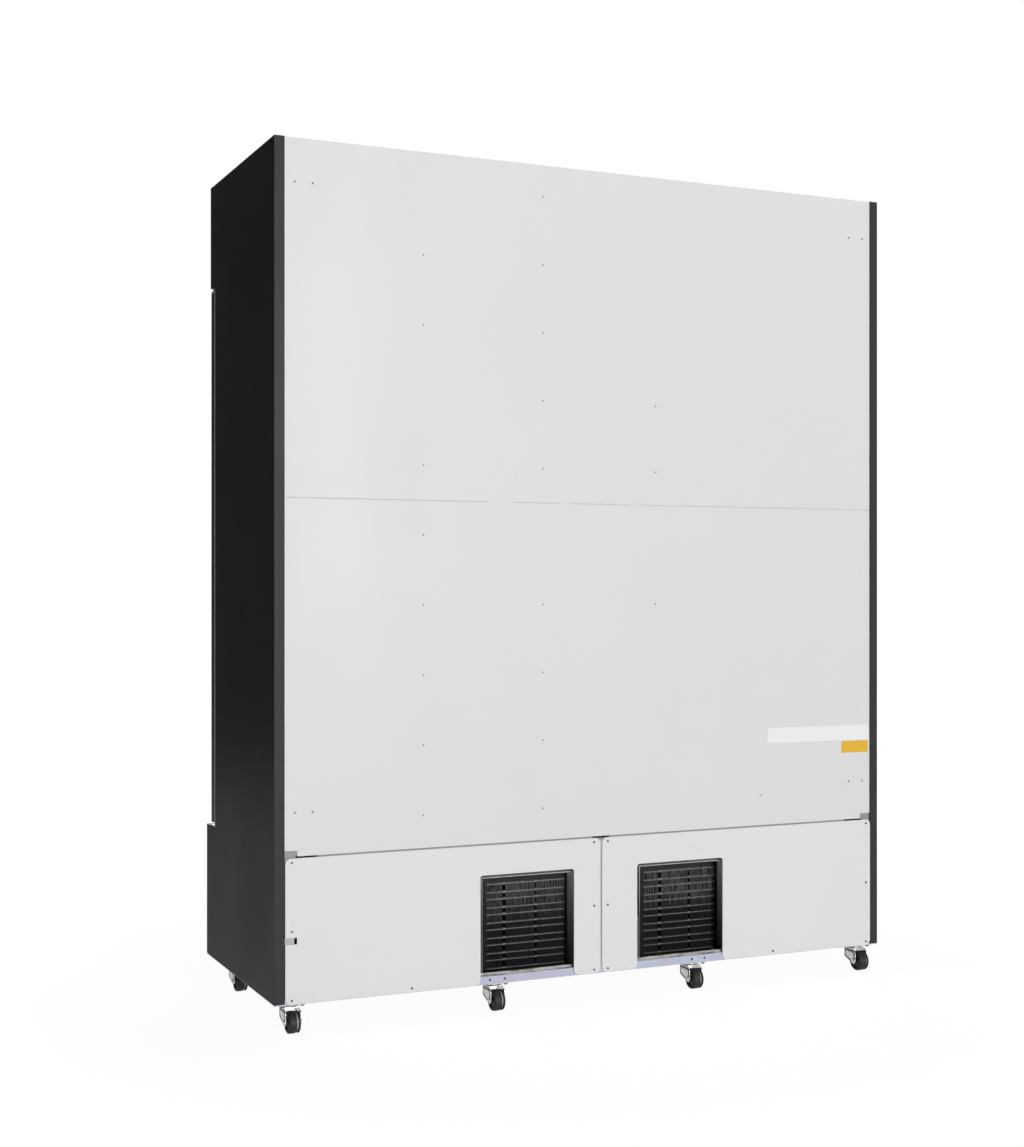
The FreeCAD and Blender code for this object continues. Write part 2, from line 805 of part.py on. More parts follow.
save("side_panel_right", side_panel())
save("side_panel_left", mirrored(side_panel()))
save("back_panel_upper", back_panel_upper())
save("back_panel_lower", back_panel_lower())
save("top_panel", top_panel())
save("base_frame", base_frame())
cover_edge = half - flange - 0.7
save("rear_cover_right", rear_cover(1.5, cover_edge, cutout_right, True))
save("rear_cover_left", rear_cover(-cover_edge, 1.5 - 2 * cover_gap, cutout_left, False))
save("rear_screws", *rear_screws())
save("foam_body", foam_body())
save("liner", liner())
save("front_frame", front_frame())
save("canopy_housing", canopy_housing())
save("sign_panel", sign_panel())
save("led_strips", *led_strips())
save("front_grille", front_grille())
save("hinge_plates", *hinge_plates())
for name, place in (("left", -1), ("centre", 0), ("right", 1)):
    save(f"door_frame_{name}", door_frame(place))
    save(f"door_glass_{name}", *door_glass(place))
    save(f"door_gasket_{name}", door_gasket(place))
    save(f"door_handle_{name}", door_handle(place))
save("shelves", *shelves())
save("shelf_standards", *shelf_standards())
save("evaporator_cover", evaporator_cover())
save("evaporator_coil", evaporator_coil())
for name, x in (("left", -fan_x), ("right", fan_x)):
    wheel = fan(x, evaporator_front + 14, evaporator_z, mouth_radius - 3, 20.0, 24.0, 5)
    save(f"evaporator_fan_{name}", wheel)
save("condenser_fins", *condenser_fins())
save("condenser_tubes", *condenser_tubes())
save("condenser_shrouds", *[condenser_shroud(c) for c in unit_centres])
save("fan_motors", *[fan_motor(c) for c in unit_centres], *[evaporator_motor(x) for x in (-fan_x, fan_x)])
save("condenser_fan_right", fan(unit_centres[0], fan_y, fan_z, fan_radius, 24.0, 26.0, 5))
save("condenser_fan_left", fan(unit_centres[1], fan_y, fan_z, fan_radius, 24.0, 26.0, 5))
save("compressors", *[compressor(c) for c in unit_centres])
save("unit_trays", *[unit_tray(c) for c in unit_centres])
save("caster_plates", *[caster_plate(x, y) for name, x, y in caster_places()])
for name, x, y in caster_places():
    save(f"caster_fork_{name}", *caster_fork(x, y))
    save(f"caster_wheel_{name}", caster_wheel(x, y))
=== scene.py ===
import json
import math

import bmesh
import bpy
from mathutils import Matrix, Vector

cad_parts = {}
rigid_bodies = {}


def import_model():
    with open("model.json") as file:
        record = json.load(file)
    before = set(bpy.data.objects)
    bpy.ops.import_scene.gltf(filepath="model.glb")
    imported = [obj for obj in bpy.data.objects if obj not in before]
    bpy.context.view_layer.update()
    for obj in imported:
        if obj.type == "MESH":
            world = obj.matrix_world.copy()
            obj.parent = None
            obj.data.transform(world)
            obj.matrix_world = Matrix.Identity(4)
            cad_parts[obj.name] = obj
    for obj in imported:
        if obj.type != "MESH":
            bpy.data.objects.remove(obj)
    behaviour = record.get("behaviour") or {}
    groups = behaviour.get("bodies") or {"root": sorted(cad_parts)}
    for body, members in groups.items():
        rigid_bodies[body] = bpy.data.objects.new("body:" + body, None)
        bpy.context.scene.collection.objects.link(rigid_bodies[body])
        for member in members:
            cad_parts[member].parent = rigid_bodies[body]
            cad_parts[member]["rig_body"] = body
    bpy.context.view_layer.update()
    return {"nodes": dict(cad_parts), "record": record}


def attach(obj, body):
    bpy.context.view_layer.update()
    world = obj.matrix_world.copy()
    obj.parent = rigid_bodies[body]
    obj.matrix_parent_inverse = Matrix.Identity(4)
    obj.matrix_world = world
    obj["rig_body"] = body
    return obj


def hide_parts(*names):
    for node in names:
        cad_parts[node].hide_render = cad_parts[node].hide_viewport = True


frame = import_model()
scene = bpy.context.scene
nodes = frame["nodes"]
mm = 0.001  # the dictionaries of pieces are in millimetres
tiny = 1e-6  # merging distance
print("frame loaded,", len(nodes), "nodes")


# Camera and studio

cameraSetup = {
    "place": (1.874, 3.935, 0.995),
    "heading": (-0.4112, -0.9114, 0.0),
    "lens": 53.45,
    "shiftUp": 0.01116,
}

studio = {
    "key": {"place": (-0.9, 13.6, 2.1), "aim": (0.0, 0.3, 1.0), "size": (3.4, 4.2), "power": 1405.0},
    "front": {"place": (-1.4, -5.4, 3.0), "aim": (0.0, -0.3, 1.0), "size": (4.0, 3.0), "power": 150.0},
    "overhead": {"place": (-0.7, 0.4, 4.6), "aim": (-0.5, 0.2, 0.0), "size": (2.4, 4.5), "power": 18.0},
    "ambient": 0.03,
    "reflectedSide": 0.015,
    "reflectedBack": 0.75,
    "floorWhite": (0.86, 1.0),
    "floorFade": (1.1, 3.0),
    "floorReflected": (0.62, 0.02),
    "floorDims": (1.3, 7.0),
    "floorGlow": 1.1,
    "floorRadius": 14.0,
}


def makeCamera():
    camera = bpy.data.objects.new("camera", bpy.data.cameras.new("camera"))
    scene.collection.objects.link(camera)
    camera.location = cameraSetup["place"]
    camera.rotation_euler = Vector(cameraSetup["heading"]).to_track_quat("-Z", "Y").to_euler()
    camera.data.sensor_width = 36.0
    camera.data.lens = cameraSetup["lens"]
    camera.data.shift_y = cameraSetup["shiftUp"]
    camera.data.clip_end = 60.0
    scene.camera = camera


def makeLamp(name):
    given = studio[name]
    lamp = bpy.data.lights.new(name, "AREA")
    lamp.shape = "RECTANGLE"
    lamp.size, lamp.size_y = given["size"]
    lamp.energy = given["power"]
    holder = bpy.data.objects.new(name, lamp)
    scene.collection.objects.link(holder)
    holder.location = given["place"]
    aim = Vector(given["aim"]) - Vector(given["place"])
    holder.rotation_euler = aim.to_track_quat("-Z", "Y").to_euler()


# Shader building: a wrapped socket takes part in plain expressions

class Signal:
    def __init__(self, shader, socket):
        self.shader, self.socket = shader, socket

    def maths(self, operation, first, second):
        return self.shader.add("ShaderNodeMath", {"operation": operation}, {0: first, 1: second})

    def __add__(self, other):
        return self.maths("ADD", self, other)

    def __radd__(self, other):
        return self.maths("ADD", other, self)

    def __sub__(self, other):
        return self.maths("SUBTRACT", self, other)

    def __rsub__(self, other):
        return self.maths("SUBTRACT", other, self)

    def __mul__(self, other):
        return self.maths("MULTIPLY", self, other)

    def __rmul__(self, other):
        return self.maths("MULTIPLY", other, self)

    def __pow__(self, other):
        return self.maths("POWER", self, other)


class Shader:
    def __init__(self, owner):
        owner.use_nodes = True
        self.owner = owner
        self.tree = owner.node_tree
        self.tree.nodes.clear()

    def add(self, kind, settings=None, inputs=None, output=0):
        node = self.tree.nodes.new(kind)
        for key, value in (settings or {}).items():
            setattr(node, key, value)
        for key, value in (inputs or {}).items():
            if isinstance(value, Signal):
                self.tree.links.new(value.socket, node.inputs[key])
            else:
                node.inputs[key].default_value = value
        return Signal(self, node.outputs[output]) if node.outputs else None

    def place(self, scale=(1.0, 1.0, 1.0)):
        spot = self.add("ShaderNodeTexCoord", output="Object")
        return self.add("ShaderNodeMapping", None, {"Vector": spot, "Scale": scale})

    def axis(self, letter):
        spot = self.add("ShaderNodeTexCoord", output="Object")
        return self.add("ShaderNodeSeparateXYZ", None, {"Vector": spot}, letter)

    def ray(self, kind):
        return self.add("ShaderNodeLightPath", output=f"Is {kind} Ray")

    def noise(self, scale, detail=2.0, vector=None):
        spot = vector or self.place()
        return self.add("ShaderNodeTexNoise", None, {"Vector": spot, "Scale": scale, "Detail": detail})

    def span(self, signal, low, high, start=0.0, end=1.0):
        limits = {"Value": signal, "From Min": low, "From Max": high, "To Min": start, "To Max": end}
        return self.add("ShaderNodeMapRange", {"clamp": True}, limits)

    def within(self, letter, low, high, fade=0.0005):
        place = self.axis(letter)
        return self.span(place, low - fade, low) * self.span(place, high, high + fade, 1.0, 0.0)

    def blend(self, amount, first, second):
        inputs = {0: amount, 6: rgba(first), 7: rgba(second)}
        return self.add("ShaderNodeMix", {"data_type": "RGBA"}, inputs, 2)

    def bump(self, height, depth, strength):
        inputs = {"Height": height, "Distance": depth, "Strength": strength}
        return self.add("ShaderNodeBump", None, inputs)

    def surface(self, **inputs):
        named = {key.replace("_", " "): value for key, value in inputs.items()}
        named["Base Color"] = rgba(named["Base Color"])
        skin = self.add("ShaderNodeBsdfPrincipled", None, named)
        self.add("ShaderNodeOutputMaterial", None, {"Surface": skin})
        return self.owner


def rgba(colour):
    return (*colour, 1.0) if isinstance(colour, tuple) and len(colour) == 3 else colour


def newShader(name):
    return Shader(bpy.data.materials.new(name))


def makeWorld():
    world = bpy.data.worlds.new("studio")
    scene.world = world
    shader = Shader(world)
    spot = shader.add("ShaderNodeTexCoord", output="Generated")
    across, ahead, rise = (
        shader.add("ShaderNodeSeparateXYZ", None, {"Vector": spot}, letter) for letter in "XYZ"
    )
    # the studio is darker to the +X -Y side, and overhead
    dark = shader.span(across * 0.75 - ahead * 0.5, 0.05, 0.75)
    reflected = shader.span(dark, 0.0, 1.0, studio["reflectedBack"], studio["reflectedSide"])
    reflected = reflected * shader.span(rise, 0.05, 0.9, 1.0, 0.25)
    seen = shader.span(shader.ray("Camera") + shader.ray("Transmission"), 0.0, 1.0)
    glossy = shader.ray("Glossy")
    level = reflected * glossy + (1.0 - glossy) * studio["ambient"]
    strength = seen + (1.0 - seen) * level
    white = (1.0, 1.0, 1.0, 1.0)
    light = shader.add("ShaderNodeBackground", None, {"Color": white, "Strength": strength})
    shader.add("ShaderNodeOutputWorld", None, {"Surface": light})


def makeFloor():
    shader = newShader("paleFloor")
    white, black = (1.0, 1.0, 1.0, 1.0), (0.0, 0.0, 0.0, 1.0)
    paint = shader.add("ShaderNodeBsdfDiffuse", None, {"Color": (0.93, 0.93, 0.93, 1.0)})
    glow = shader.add("ShaderNodeEmission", None, {"Color": white, "Strength": studio["floorGlow"]})
    spot = shader.add("ShaderNodeTexCoord", output="Object")
    away = shader.add("ShaderNodeVectorMath", {"operation": "LENGTH"}, {0: spot}, "Value")
    lit = shader.span(away, *studio["floorFade"], *studio["floorWhite"])
    mixed = shader.add("ShaderNodeMixShader", None, {0: shader.ray("Camera") * lit, 1: paint, 2: glow})
    level = shader.span(away, *studio["floorDims"], *studio["floorReflected"])
    near = shader.add("ShaderNodeEmission", None, {"Color": white, "Strength": 1.0})
    far = shader.add("ShaderNodeEmission", None, {"Color": black, "Strength": 1.0})
    sheen = shader.add("ShaderNodeMixShader", None, {0: level, 1: far, 2: near})
    mixed = shader.add("ShaderNodeMixShader", None, {0: shader.ray("Glossy"), 1: mixed, 2: sheen})
    shader.add("ShaderNodeOutputMaterial", None, {"Surface": mixed})
    bm = bmesh.new()
    bmesh.ops.create_circle(bm, cap_ends=True, segments=64, radius=studio["floorRadius"])
    mesh = bpy.data.meshes.new("floor")
    bm.to_mesh(mesh)
    bm.free()
    mesh.materials.append(shader.owner)
    floor = bpy.data.objects.new("floor", mesh)
    scene.collection.objects.link(floor)


scene.view_settings.view_transform = "Standard"
makeCamera()
for lampName in ("key", "front", "overhead"):
    makeLamp(lampName)
makeWorld()
makeFloor()
print("camera, lamps and floor made")


# Finishes

coatColours = {
    "panel": (0.735, 0.738, 0.738),
    "cover": (0.765, 0.768, 0.768),
    "inside": (0.80, 0.81, 0.80),
    "base": (0.52, 0.545, 0.68),
    # the posts' grey is darkened with painted shade; the rail's grey is painted shade in the gap
    "shadedPost": (0.50, 0.505, 0.53),
    "shadedRail": (0.30, 0.30, 0.31),
}
# where one colour of the base frame gives way to the next, going up; the post and rail colours carry
# painted shade
coatHeights = {"shadedPost": (0.0885, 0.0905), "shadedRail": (0.384, 0.387)}


def coatedSheet(name, colour, grain=0.035, roughness=0.42):
    # light sheet with the fine skin of powder coat, faint mottling and wiped patches
    shader = newShader(name)
    skin = shader.noise(900.0, 3.0)
    cloud = shader.noise(2.2, 4.0)
    wiped = shader.noise(7.0, 3.0, shader.place((1.0, 1.0, 0.25)))
    tint = shader.blend(shader.span(cloud, 0.3, 0.7, 0.0, grain), colour, (0.45, 0.46, 0.48))
    tint = shader.blend(shader.span(skin, 0.35, 0.65, 0.0, grain * 0.7), tint, (0.3, 0.3, 0.31))
    return shader.surface(
        Base_Color=tint,
        Roughness=shader.span(wiped, 0.3, 0.7, roughness - 0.05, roughness + 0.07),
        Specular_IOR_Level=0.3,
        Normal=shader.bump(skin, 0.00012, 0.35),
    )


def frameCoat(name):
    # lavender coat on the strip along the floor, a grey on the posts darkened with painted shade, painted
    # shade on the rail behind the gap over the covers, and patches of grime
    shader = newShader(name)
    height = shader.axis("Z")
    skin = shader.noise(900.0, 3.0)
    cloud = shader.noise(16.0, 4.0)
    tint = coatColours["base"]
    for part, (low, high) in coatHeights.items():
        tint = shader.blend(shader.span(height, low, high), tint, coatColours[part])
    tint = shader.blend(shader.span(cloud, 0.45, 0.8, 0.0, 0.22), tint, (0.26, 0.26, 0.28))
    return shader.surface(
        Base_Color=tint, Roughness=shader.span(cloud, 0.3, 0.7, 0.38, 0.5), Specular_IOR_Level=0.3,
        Normal=shader.bump(skin, 0.00012, 0.35),
    )


blackCoat = {
    "colour": (0.042, 0.042, 0.0425), "dust": (0.085, 0.084, 0.082), "roughness": 0.4,
    "spots": {
        "x": 0.8, "y": (-0.219, -0.211), "z": (1.785, 1.985), "scale": 70.0, "colour": (0.2, 0.2, 0.2),
    },
}


def blackEnamel(name, colour=None, gloss=0.08, spotted=False):
    # black powder coat: pebbled skin, a little dust low down, paler low at the front
    shader = newShader(name)
    base = colour or blackCoat["colour"]
    skin = shader.noise(650.0, 2.0)
    cloud = shader.noise(3.0, 4.0)
    low = shader.span(shader.axis("Z"), 0.07, 0.5, 1.0, 0.0)
    dusty = shader.span(cloud, 0.35, 0.75) * 0.14 * low + shader.span(cloud, 0.6, 0.8) * 0.03
    tint = shader.blend(dusty, base, blackCoat["dust"])
    if spotted:
        # a row of small chips beside the canopy's joint
        zone = blackCoat["spots"]
        inputs = {"Vector": shader.place(), "Scale": zone["scale"]}
        cells = shader.add("ShaderNodeTexVoronoi", None, inputs, "Distance")
        chips = shader.span(cells, 0.1, 0.16, 1.0, 0.0)
        chips = chips * shader.within("Y", *zone["y"]) * shader.within("Z", *zone["z"])
        chips = chips * shader.span(shader.axis("X"), zone["x"], zone["x"] + 0.001)
        tint = shader.blend(chips, tint, zone["colour"])
    front = shader.span(shader.axis("Y"), -0.3, 0.1, 1.0, 0.0)
    front = front * shader.span(shader.axis("Z"), 0.25, 1.1, 1.0, 0.0)
    tint = shader.blend(front * 0.35, tint, blackCoat["dust"])
    rough = blackCoat["roughness"] + shader.span(cloud, 0.3, 0.7, -0.04, 0.05) + low * 0.04
    return shader.surface(
        Base_Color=tint, Roughness=rough, Specular_IOR_Level=gloss,
        Normal=shader.bump(skin, 0.0002, 0.3),
    )


def galvanised(name, colour, roughness, metal, spangle, streak, dark):
    # zinc sheet with crystals of differing grey and marks along the bend, painted shade above one height
    shader = newShader(name)
    inputs = {"Vector": shader.place(), "Scale": spangle}
    flakes = shader.add("ShaderNodeTexVoronoi", None, inputs, "Color")
    flake = shader.add("ShaderNodeSeparateXYZ", None, {"Vector": flakes}, "X")
    cloud = shader.noise(30.0, 4.0, shader.place((1.0, 1.0, 3.0)))
    dull = tuple(part * 0.72 for part in colour)
    tint = shader.blend(flake * 0.6, colour, dull)
    marks = shader.span(shader.noise(24.0, 3.0, shader.place((1.0, 1.0, 6.0))), 0.5, 0.62, 0.0, streak)
    tint = shader.blend(marks, tint, tuple(part * 0.12 for part in colour))
    # painted shade over the deck and tabs above the lip
    tint = shader.blend(shader.span(shader.axis("Z"), dark, dark + 0.0005), tint, (0.055, 0.055, 0.055))
    return shader.surface(
        Base_Color=tint, Metallic=metal,
        Roughness=shader.span(cloud, 0.3, 0.7, roughness - 0.08, roughness + 0.1) + flake * 0.06,
        Normal=shader.bump(cloud, 0.0002, 0.3),
    )


def brightZinc(name, colour, roughness, patches=0.35):
    # plated steel: fine drawing lines, slight haze, duller in patches
    shader = newShader(name)
    haze = shader.noise(120.0, 3.0)
    lines = shader.noise(500.0, 2.0, shader.place((1.0, 1.0, 0.12)))
    dull = tuple(part * 0.62 for part in colour)
    tint = shader.blend(shader.span(haze, 0.4, 0.75, 0.0, patches), colour, dull)
    return shader.surface(
        Base_Color=tint, Metallic=1.0,
        Roughness=shader.span(haze, 0.3, 0.7, roughness - 0.05, roughness + 0.14),
        Normal=shader.bump(lines, 0.00006, 0.4),
    )


def mouldedBlack(name, colour, roughness, grain=1200.0):
    # moulded rubber or plastic: fine grain, chalky scuffs
    shader = newShader(name)
    skin = shader.noise(grain, 2.0)
    scuff = shader.span(shader.noise(160.0, 4.0), 0.56, 0.72)
    chalk = tuple(min(0.9, part * 1.6 + 0.02) for part in colour)
    tint = shader.blend(scuff * 0.3, colour, chalk)
    return shader.surface(
        Base_Color=tint, Roughness=roughness + scuff * 0.2, Specular_IOR_Level=0.4,
        Normal=shader.bump(skin, 0.00008, 0.4),
    )


def brushed(name, colour, roughness=0.3):
    # satin metal with upright drawing lines
    shader = newShader(name)
    lines = shader.noise(900.0, 3.0, shader.place((1.0, 1.0, 0.02)))
    cloud = shader.noise(14.0, 3.0)
    dull = tuple(part * 0.7 for part in colour)
    tint = shader.blend(shader.span(lines, 0.3, 0.7, 0.0, 0.35), colour, dull)
    return shader.surface(
        Base_Color=tint, Metallic=0.95,
        Roughness=shader.span(cloud, 0.3, 0.7, roughness - 0.04, roughness + 0.08),
        Normal=shader.bump(lines, 0.00004, 0.5),
    )


def dustAndLightFins(name):
    # thin fins: streaks of differing grey, paler in the upper half with dust and painted light
    shader = newShader(name)
    stripes = shader.noise(430.0, 3.0, shader.place((1.0, 0.0, 0.07)))
    fluff = shader.noise(14.0, 3.0)
    # the upper half paler: dust and painted light together
    high = shader.span(shader.axis("Z"), 0.19, 0.245)
    dusty = 0.07 + high * shader.span(fluff, 0.35, 0.65, 0.5, 1.5)
    lit = shader.span(stripes, 0.4, 0.66, 0.05, 1.2) * dusty
    tint = shader.blend(lit, (0.004, 0.004, 0.004), (0.09, 0.09, 0.091))
    rough = shader.span(fluff, 0.3, 0.7, 0.55, 0.7)
    return shader.surface(Base_Color=tint, Roughness=rough, Specular_IOR_Level=0.1)


def shroudPaintedLight(name):
    # dusty sheet round the coils, painted light towards its top and painted shade low down
    shader = newShader(name)
    rise = shader.span(shader.axis("Z"), 0.1, 0.31)
    cloud = shader.noise(40.0, 3.0)
    # the ramp with height is painted light and shade
    tint = shader.blend(rise ** 1.6, (0.12, 0.12, 0.12), (0.85, 0.85, 0.85))
    tint = shader.blend(shader.span(cloud, 0.4, 0.7, 0.0, 0.2), tint, (0.2, 0.2, 0.2))
    rough = shader.span(cloud, 0.3, 0.7, 0.5, 0.65)
    return shader.surface(Base_Color=tint, Roughness=rough, Specular_IOR_Level=0.2)


def shadedCoilFrame(name):
    # black frame of the coil, painted shade round the fins: darkest low down, greyer along its top
    shader = newShader(name)
    rise = shader.span(shader.axis("Z"), 0.21, 0.3)
    dust = shader.noise(70.0, 3.0)
    tint = shader.blend(rise, (0.004, 0.004, 0.004), (0.02, 0.02, 0.0205))
    tint = shader.blend(shader.span(dust, 0.45, 0.75, 0.0, 0.1), tint, (0.08, 0.08, 0.08))
    rough = shader.span(dust, 0.3, 0.7, 0.5, 0.6)
    return shader.surface(Base_Color=tint, Roughness=rough, Specular_IOR_Level=0.1)


def clearGlass(name):
    shader = newShader(name)
    film = shader.noise(5.0, 3.0)
    return shader.surface(
        Base_Color=(0.93, 0.97, 0.95), Roughness=shader.span(film, 0.4, 0.8, 0.0, 0.03),
        Transmission_Weight=1.0, IOR=1.46,
    )


def opalSheet(name):
    shader = newShader(name)
    cloud = shader.noise(4.0, 2.0)
    tint = shader.blend(shader.span(cloud, 0.3, 0.7, 0.0, 0.06), (0.84, 0.85, 0.86), (0.7, 0.71, 0.72))
    return shader.surface(Base_Color=tint, Roughness=0.22, Coat_Weight=0.3)


def foamSkin(name):
    shader = newShader(name)
    pores = shader.noise(420.0, 4.0)
    tint = shader.blend(shader.span(pores, 0.35, 0.65), (0.66, 0.63, 0.54), (0.52, 0.49, 0.41))
    return shader.surface(Base_Color=tint, Roughness=0.9, Normal=shader.bump(pores, 0.0006, 0.6))


def copperTube(name):
    # condenser tube, blackened by paint and dust, darker low down with painted shade
    shader = newShader(name)
    fluff = shader.noise(80.0, 4.0)
    # painted shade on the lower rows
    deep = shader.span(shader.axis("Z"), 0.1, 0.25, 1.0, 0.0)
    dusty = shader.span(fluff, 0.4, 0.7, 0.0, 0.6)
    tint = shader.blend(dusty, (0.17, 0.17, 0.172), (0.06, 0.06, 0.06))
    tint = shader.blend(deep * 0.55, tint, (0.03, 0.03, 0.03))
    return shader.surface(
        Base_Color=tint, Metallic=0.2, Roughness=shader.span(fluff, 0.3, 0.7, 0.36, 0.5),
        Normal=shader.bump(fluff, 0.0002, 0.4),
    )


def plainLabel(name, colour):
    # a bare sticker: paper skin and a clear film
    shader = newShader(name)
    skin = shader.noise(700.0, 3.0)
    dull = tuple(part * 0.8 for part in colour)
    tint = shader.blend(shader.span(skin, 0.3, 0.7, 0.0, 0.08), colour, dull)
    return shader.surface(Base_Color=tint, Roughness=0.38, Normal=shader.bump(skin, 0.00005, 0.3))


finish = {
    "panelGrey": coatedSheet("panelGrey", coatColours["panel"]),
    "coverGrey": coatedSheet("coverGrey", coatColours["cover"], 0.03),
    "linerWhite": coatedSheet("linerWhite", coatColours["inside"], 0.02, 0.35),
    # a paler coat on the covers' rolled edges, a painted highlight
    "coverEdge": coatedSheet("coverEdge", (0.93, 0.93, 0.93), 0.01, 0.3),
    "frameCoat": frameCoat("frameCoat"),
    "blackSheet": blackEnamel("blackSheet", spotted=True),
    "doorBlack": blackEnamel("doorBlack", (0.02, 0.02, 0.021), 0.45),
    # the last figure is the height above which the tray takes painted shade
    "trayZinc": galvanised("trayZinc", (0.42, 0.42, 0.41), 0.5, 0.4, 70.0, 0.75, 0.0935),
    "shroudPaintedLight": shroudPaintedLight("shroudPaintedLight"),
    "shadedCoilFrame": shadedCoilFrame("shadedCoilFrame"),
    "casterZinc": brightZinc("casterZinc", (0.84, 0.835, 0.82), 0.24, 0.12),
    # amber on the upper hinges is painted light from the lit inside of the cabinet
    "hingeGold": brightZinc("hingeGold", (0.62, 0.40, 0.10), 0.26),
    "hingeZinc": brightZinc("hingeZinc", (0.62, 0.60, 0.57), 0.3),
    "zincShadow": brightZinc("zincShadow", (0.16, 0.16, 0.165), 0.3),
    "screwDark": brightZinc("screwDark", (0.13, 0.13, 0.14), 0.35),
    "screwPale": brightZinc("screwPale", (0.26, 0.26, 0.265), 0.55),
    "treadBlack": mouldedBlack("treadBlack", (0.015, 0.015, 0.016), 0.6),
    "hubBlack": mouldedBlack("hubBlack", (0.03, 0.03, 0.031), 0.36, 500.0),
    "hubPale": mouldedBlack("hubPale", (0.46, 0.46, 0.45), 0.4, 500.0),
    "sealGrey": mouldedBlack("sealGrey", (0.72, 0.72, 0.73), 0.62),
    "fanBlack": mouldedBlack("fanBlack", (0.03, 0.03, 0.032), 0.45, 400.0),
    "potBlack": blackEnamel("potBlack", (0.016, 0.016, 0.017), 0.5),
    "motorIron": mouldedBlack("motorIron", (0.09, 0.09, 0.1), 0.55, 300.0),
    "handleSatin": brushed("handleSatin", (0.62, 0.62, 0.63)),
    "fins": dustAndLightFins("fins"),
    "coilFins": brushed("coilFins", (0.55, 0.56, 0.57), 0.4),
    "tube": copperTube("tube"),
    "shelfWhite": coatedSheet("shelfWhite", (0.82, 0.83, 0.83), 0.02, 0.3),
    "pane": clearGlass("pane"),
    "opal": opalSheet("opal"),
    "lampWhite": plainLabel("lampWhite", (0.88, 0.89, 0.9)),
    "foam": foamSkin("foam"),
    "stickerWhite": plainLabel("stickerWhite", (0.86, 0.86, 0.86)),
    "stickerAmber": plainLabel("stickerAmber", (0.78, 0.46, 0.03)),
}
print("finishes made:", len(finish))


# Shared modelling steps, all in metres

def roundOver(bm, edges, offset, segments=2, clamp=False):
    bmesh.ops.bevel(
        bm, geom=edges, offset=offset, segments=segments, affect="EDGES", profile=0.5, material=-1,
        clamp_overlap=clamp,
    )


def facing(axis):
    return axis.to_track_quat("Z", "Y").to_matrix().to_4x4()


def addBox(bm, low, high, edge=0.0, segments=2):
    low, high = Vector(low), Vector(high)
    place = Matrix.Translation((low + high) / 2) @ Matrix.Diagonal((*(high - low), 1.0))
    made = bmesh.ops.create_cube(bm, size=1.0, matrix=place)
    if edge:
        roundOver(bm, list({e for v in made["verts"] for e in v.link_edges}), edge, segments)


def addRod(bm, start, end, radius, sides):
    start, end = Vector(start), Vector(end)
    run = end - start
    place = Matrix.Translation((start + end) / 2) @ facing(run)
    bmesh.ops.create_cone(
        bm, cap_ends=True, segments=sides, radius1=radius, radius2=radius, depth=run.length, matrix=place,
    )


def addTurned(bm, profile, centre, axis, steps, closed=False):
    # spins a profile of (radius, distance along the axis) round the axis
    axis = Vector(axis)
    place = Matrix.Translation(centre) @ facing(axis)
    corners = [bm.verts.new(place @ Vector((r, 0.0, d))) for r, d in profile]
    pairs = list(zip(corners, corners[1:]))
    if closed:
        pairs.append((corners[-1], corners[0]))
    edges = [bm.edges.new(pair) for pair in pairs]
    bmesh.ops.spin(
        bm, geom=corners + edges, cent=Vector(centre), axis=axis, angle=2 * math.pi, steps=steps,
        use_merge=True,
    )
    bmesh.ops.remove_doubles(bm, verts=bm.verts, dist=tiny)


def addPlate(bm, outline, depth, place, edge=0.0, keepFlat=None):
    # an outline in the place's own XY plane, made depth thick along its Z
    corners = [bm.verts.new(place @ Vector((a, b, 0.0))) for a, b in outline]
    face = bm.faces.new(corners)
    made = bmesh.ops.extrude_face_region(bm, geom=[face])
    moved = [v for v in made["geom"] if isinstance(v, bmesh.types.BMVert)]
    bmesh.ops.translate(bm, vec=place.to_3x3() @ Vector((0.0, 0.0, depth)), verts=moved)
    if edge:
        edges = {e for v in corners + moved for e in v.link_edges}
        if keepFlat:
            edges = {e for e in edges if not keepFlat(e)}
        roundOver(bm, list(edges), edge)


def arcPoints(centre, radius, start, end, steps):
    turns = [math.radians(start + (end - start) * i / steps) for i in range(steps + 1)]
    return [(centre[0] + radius * math.cos(t), centre[1] + radius * math.sin(t)) for t in turns]


def roundedRectangle(x0, x1, y0, y1, radius, steps=5):
    left, right, low, high = x0 + radius, x1 - radius, y0 + radius, y1 - radius
    points = []
    for centre, start in (((right, high), 0), ((left, high), 90), ((left, low), 180), ((right, low), 270)):
        points += arcPoints(centre, radius, start, start + 90, steps)
    return points


def inMetres(points):
    return [(a * mm, b * mm) for a, b in points]


def newPiece(name, bm, coats, body, replaced, slot, crease=35.0, turnOut=True):
    if turnOut:
        bmesh.ops.recalc_face_normals(bm, faces=bm.faces)
    mesh = bpy.data.meshes.new(name)
    bm.to_mesh(mesh)
    bm.free()
    for coat in coats:
        mesh.materials.append(finish[coat])
    mesh.shade_smooth()
    mesh.set_sharp_from_angle(angle=math.radians(crease))
    piece = bpy.data.objects.new(name, mesh)
    scene.collection.objects.link(piece)
    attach(piece, body)
    if replaced:
        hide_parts(*replaced)
    return piece


slotOf = {part["node"]: part["material_slot"] for part in frame["record"]["subparts"]}


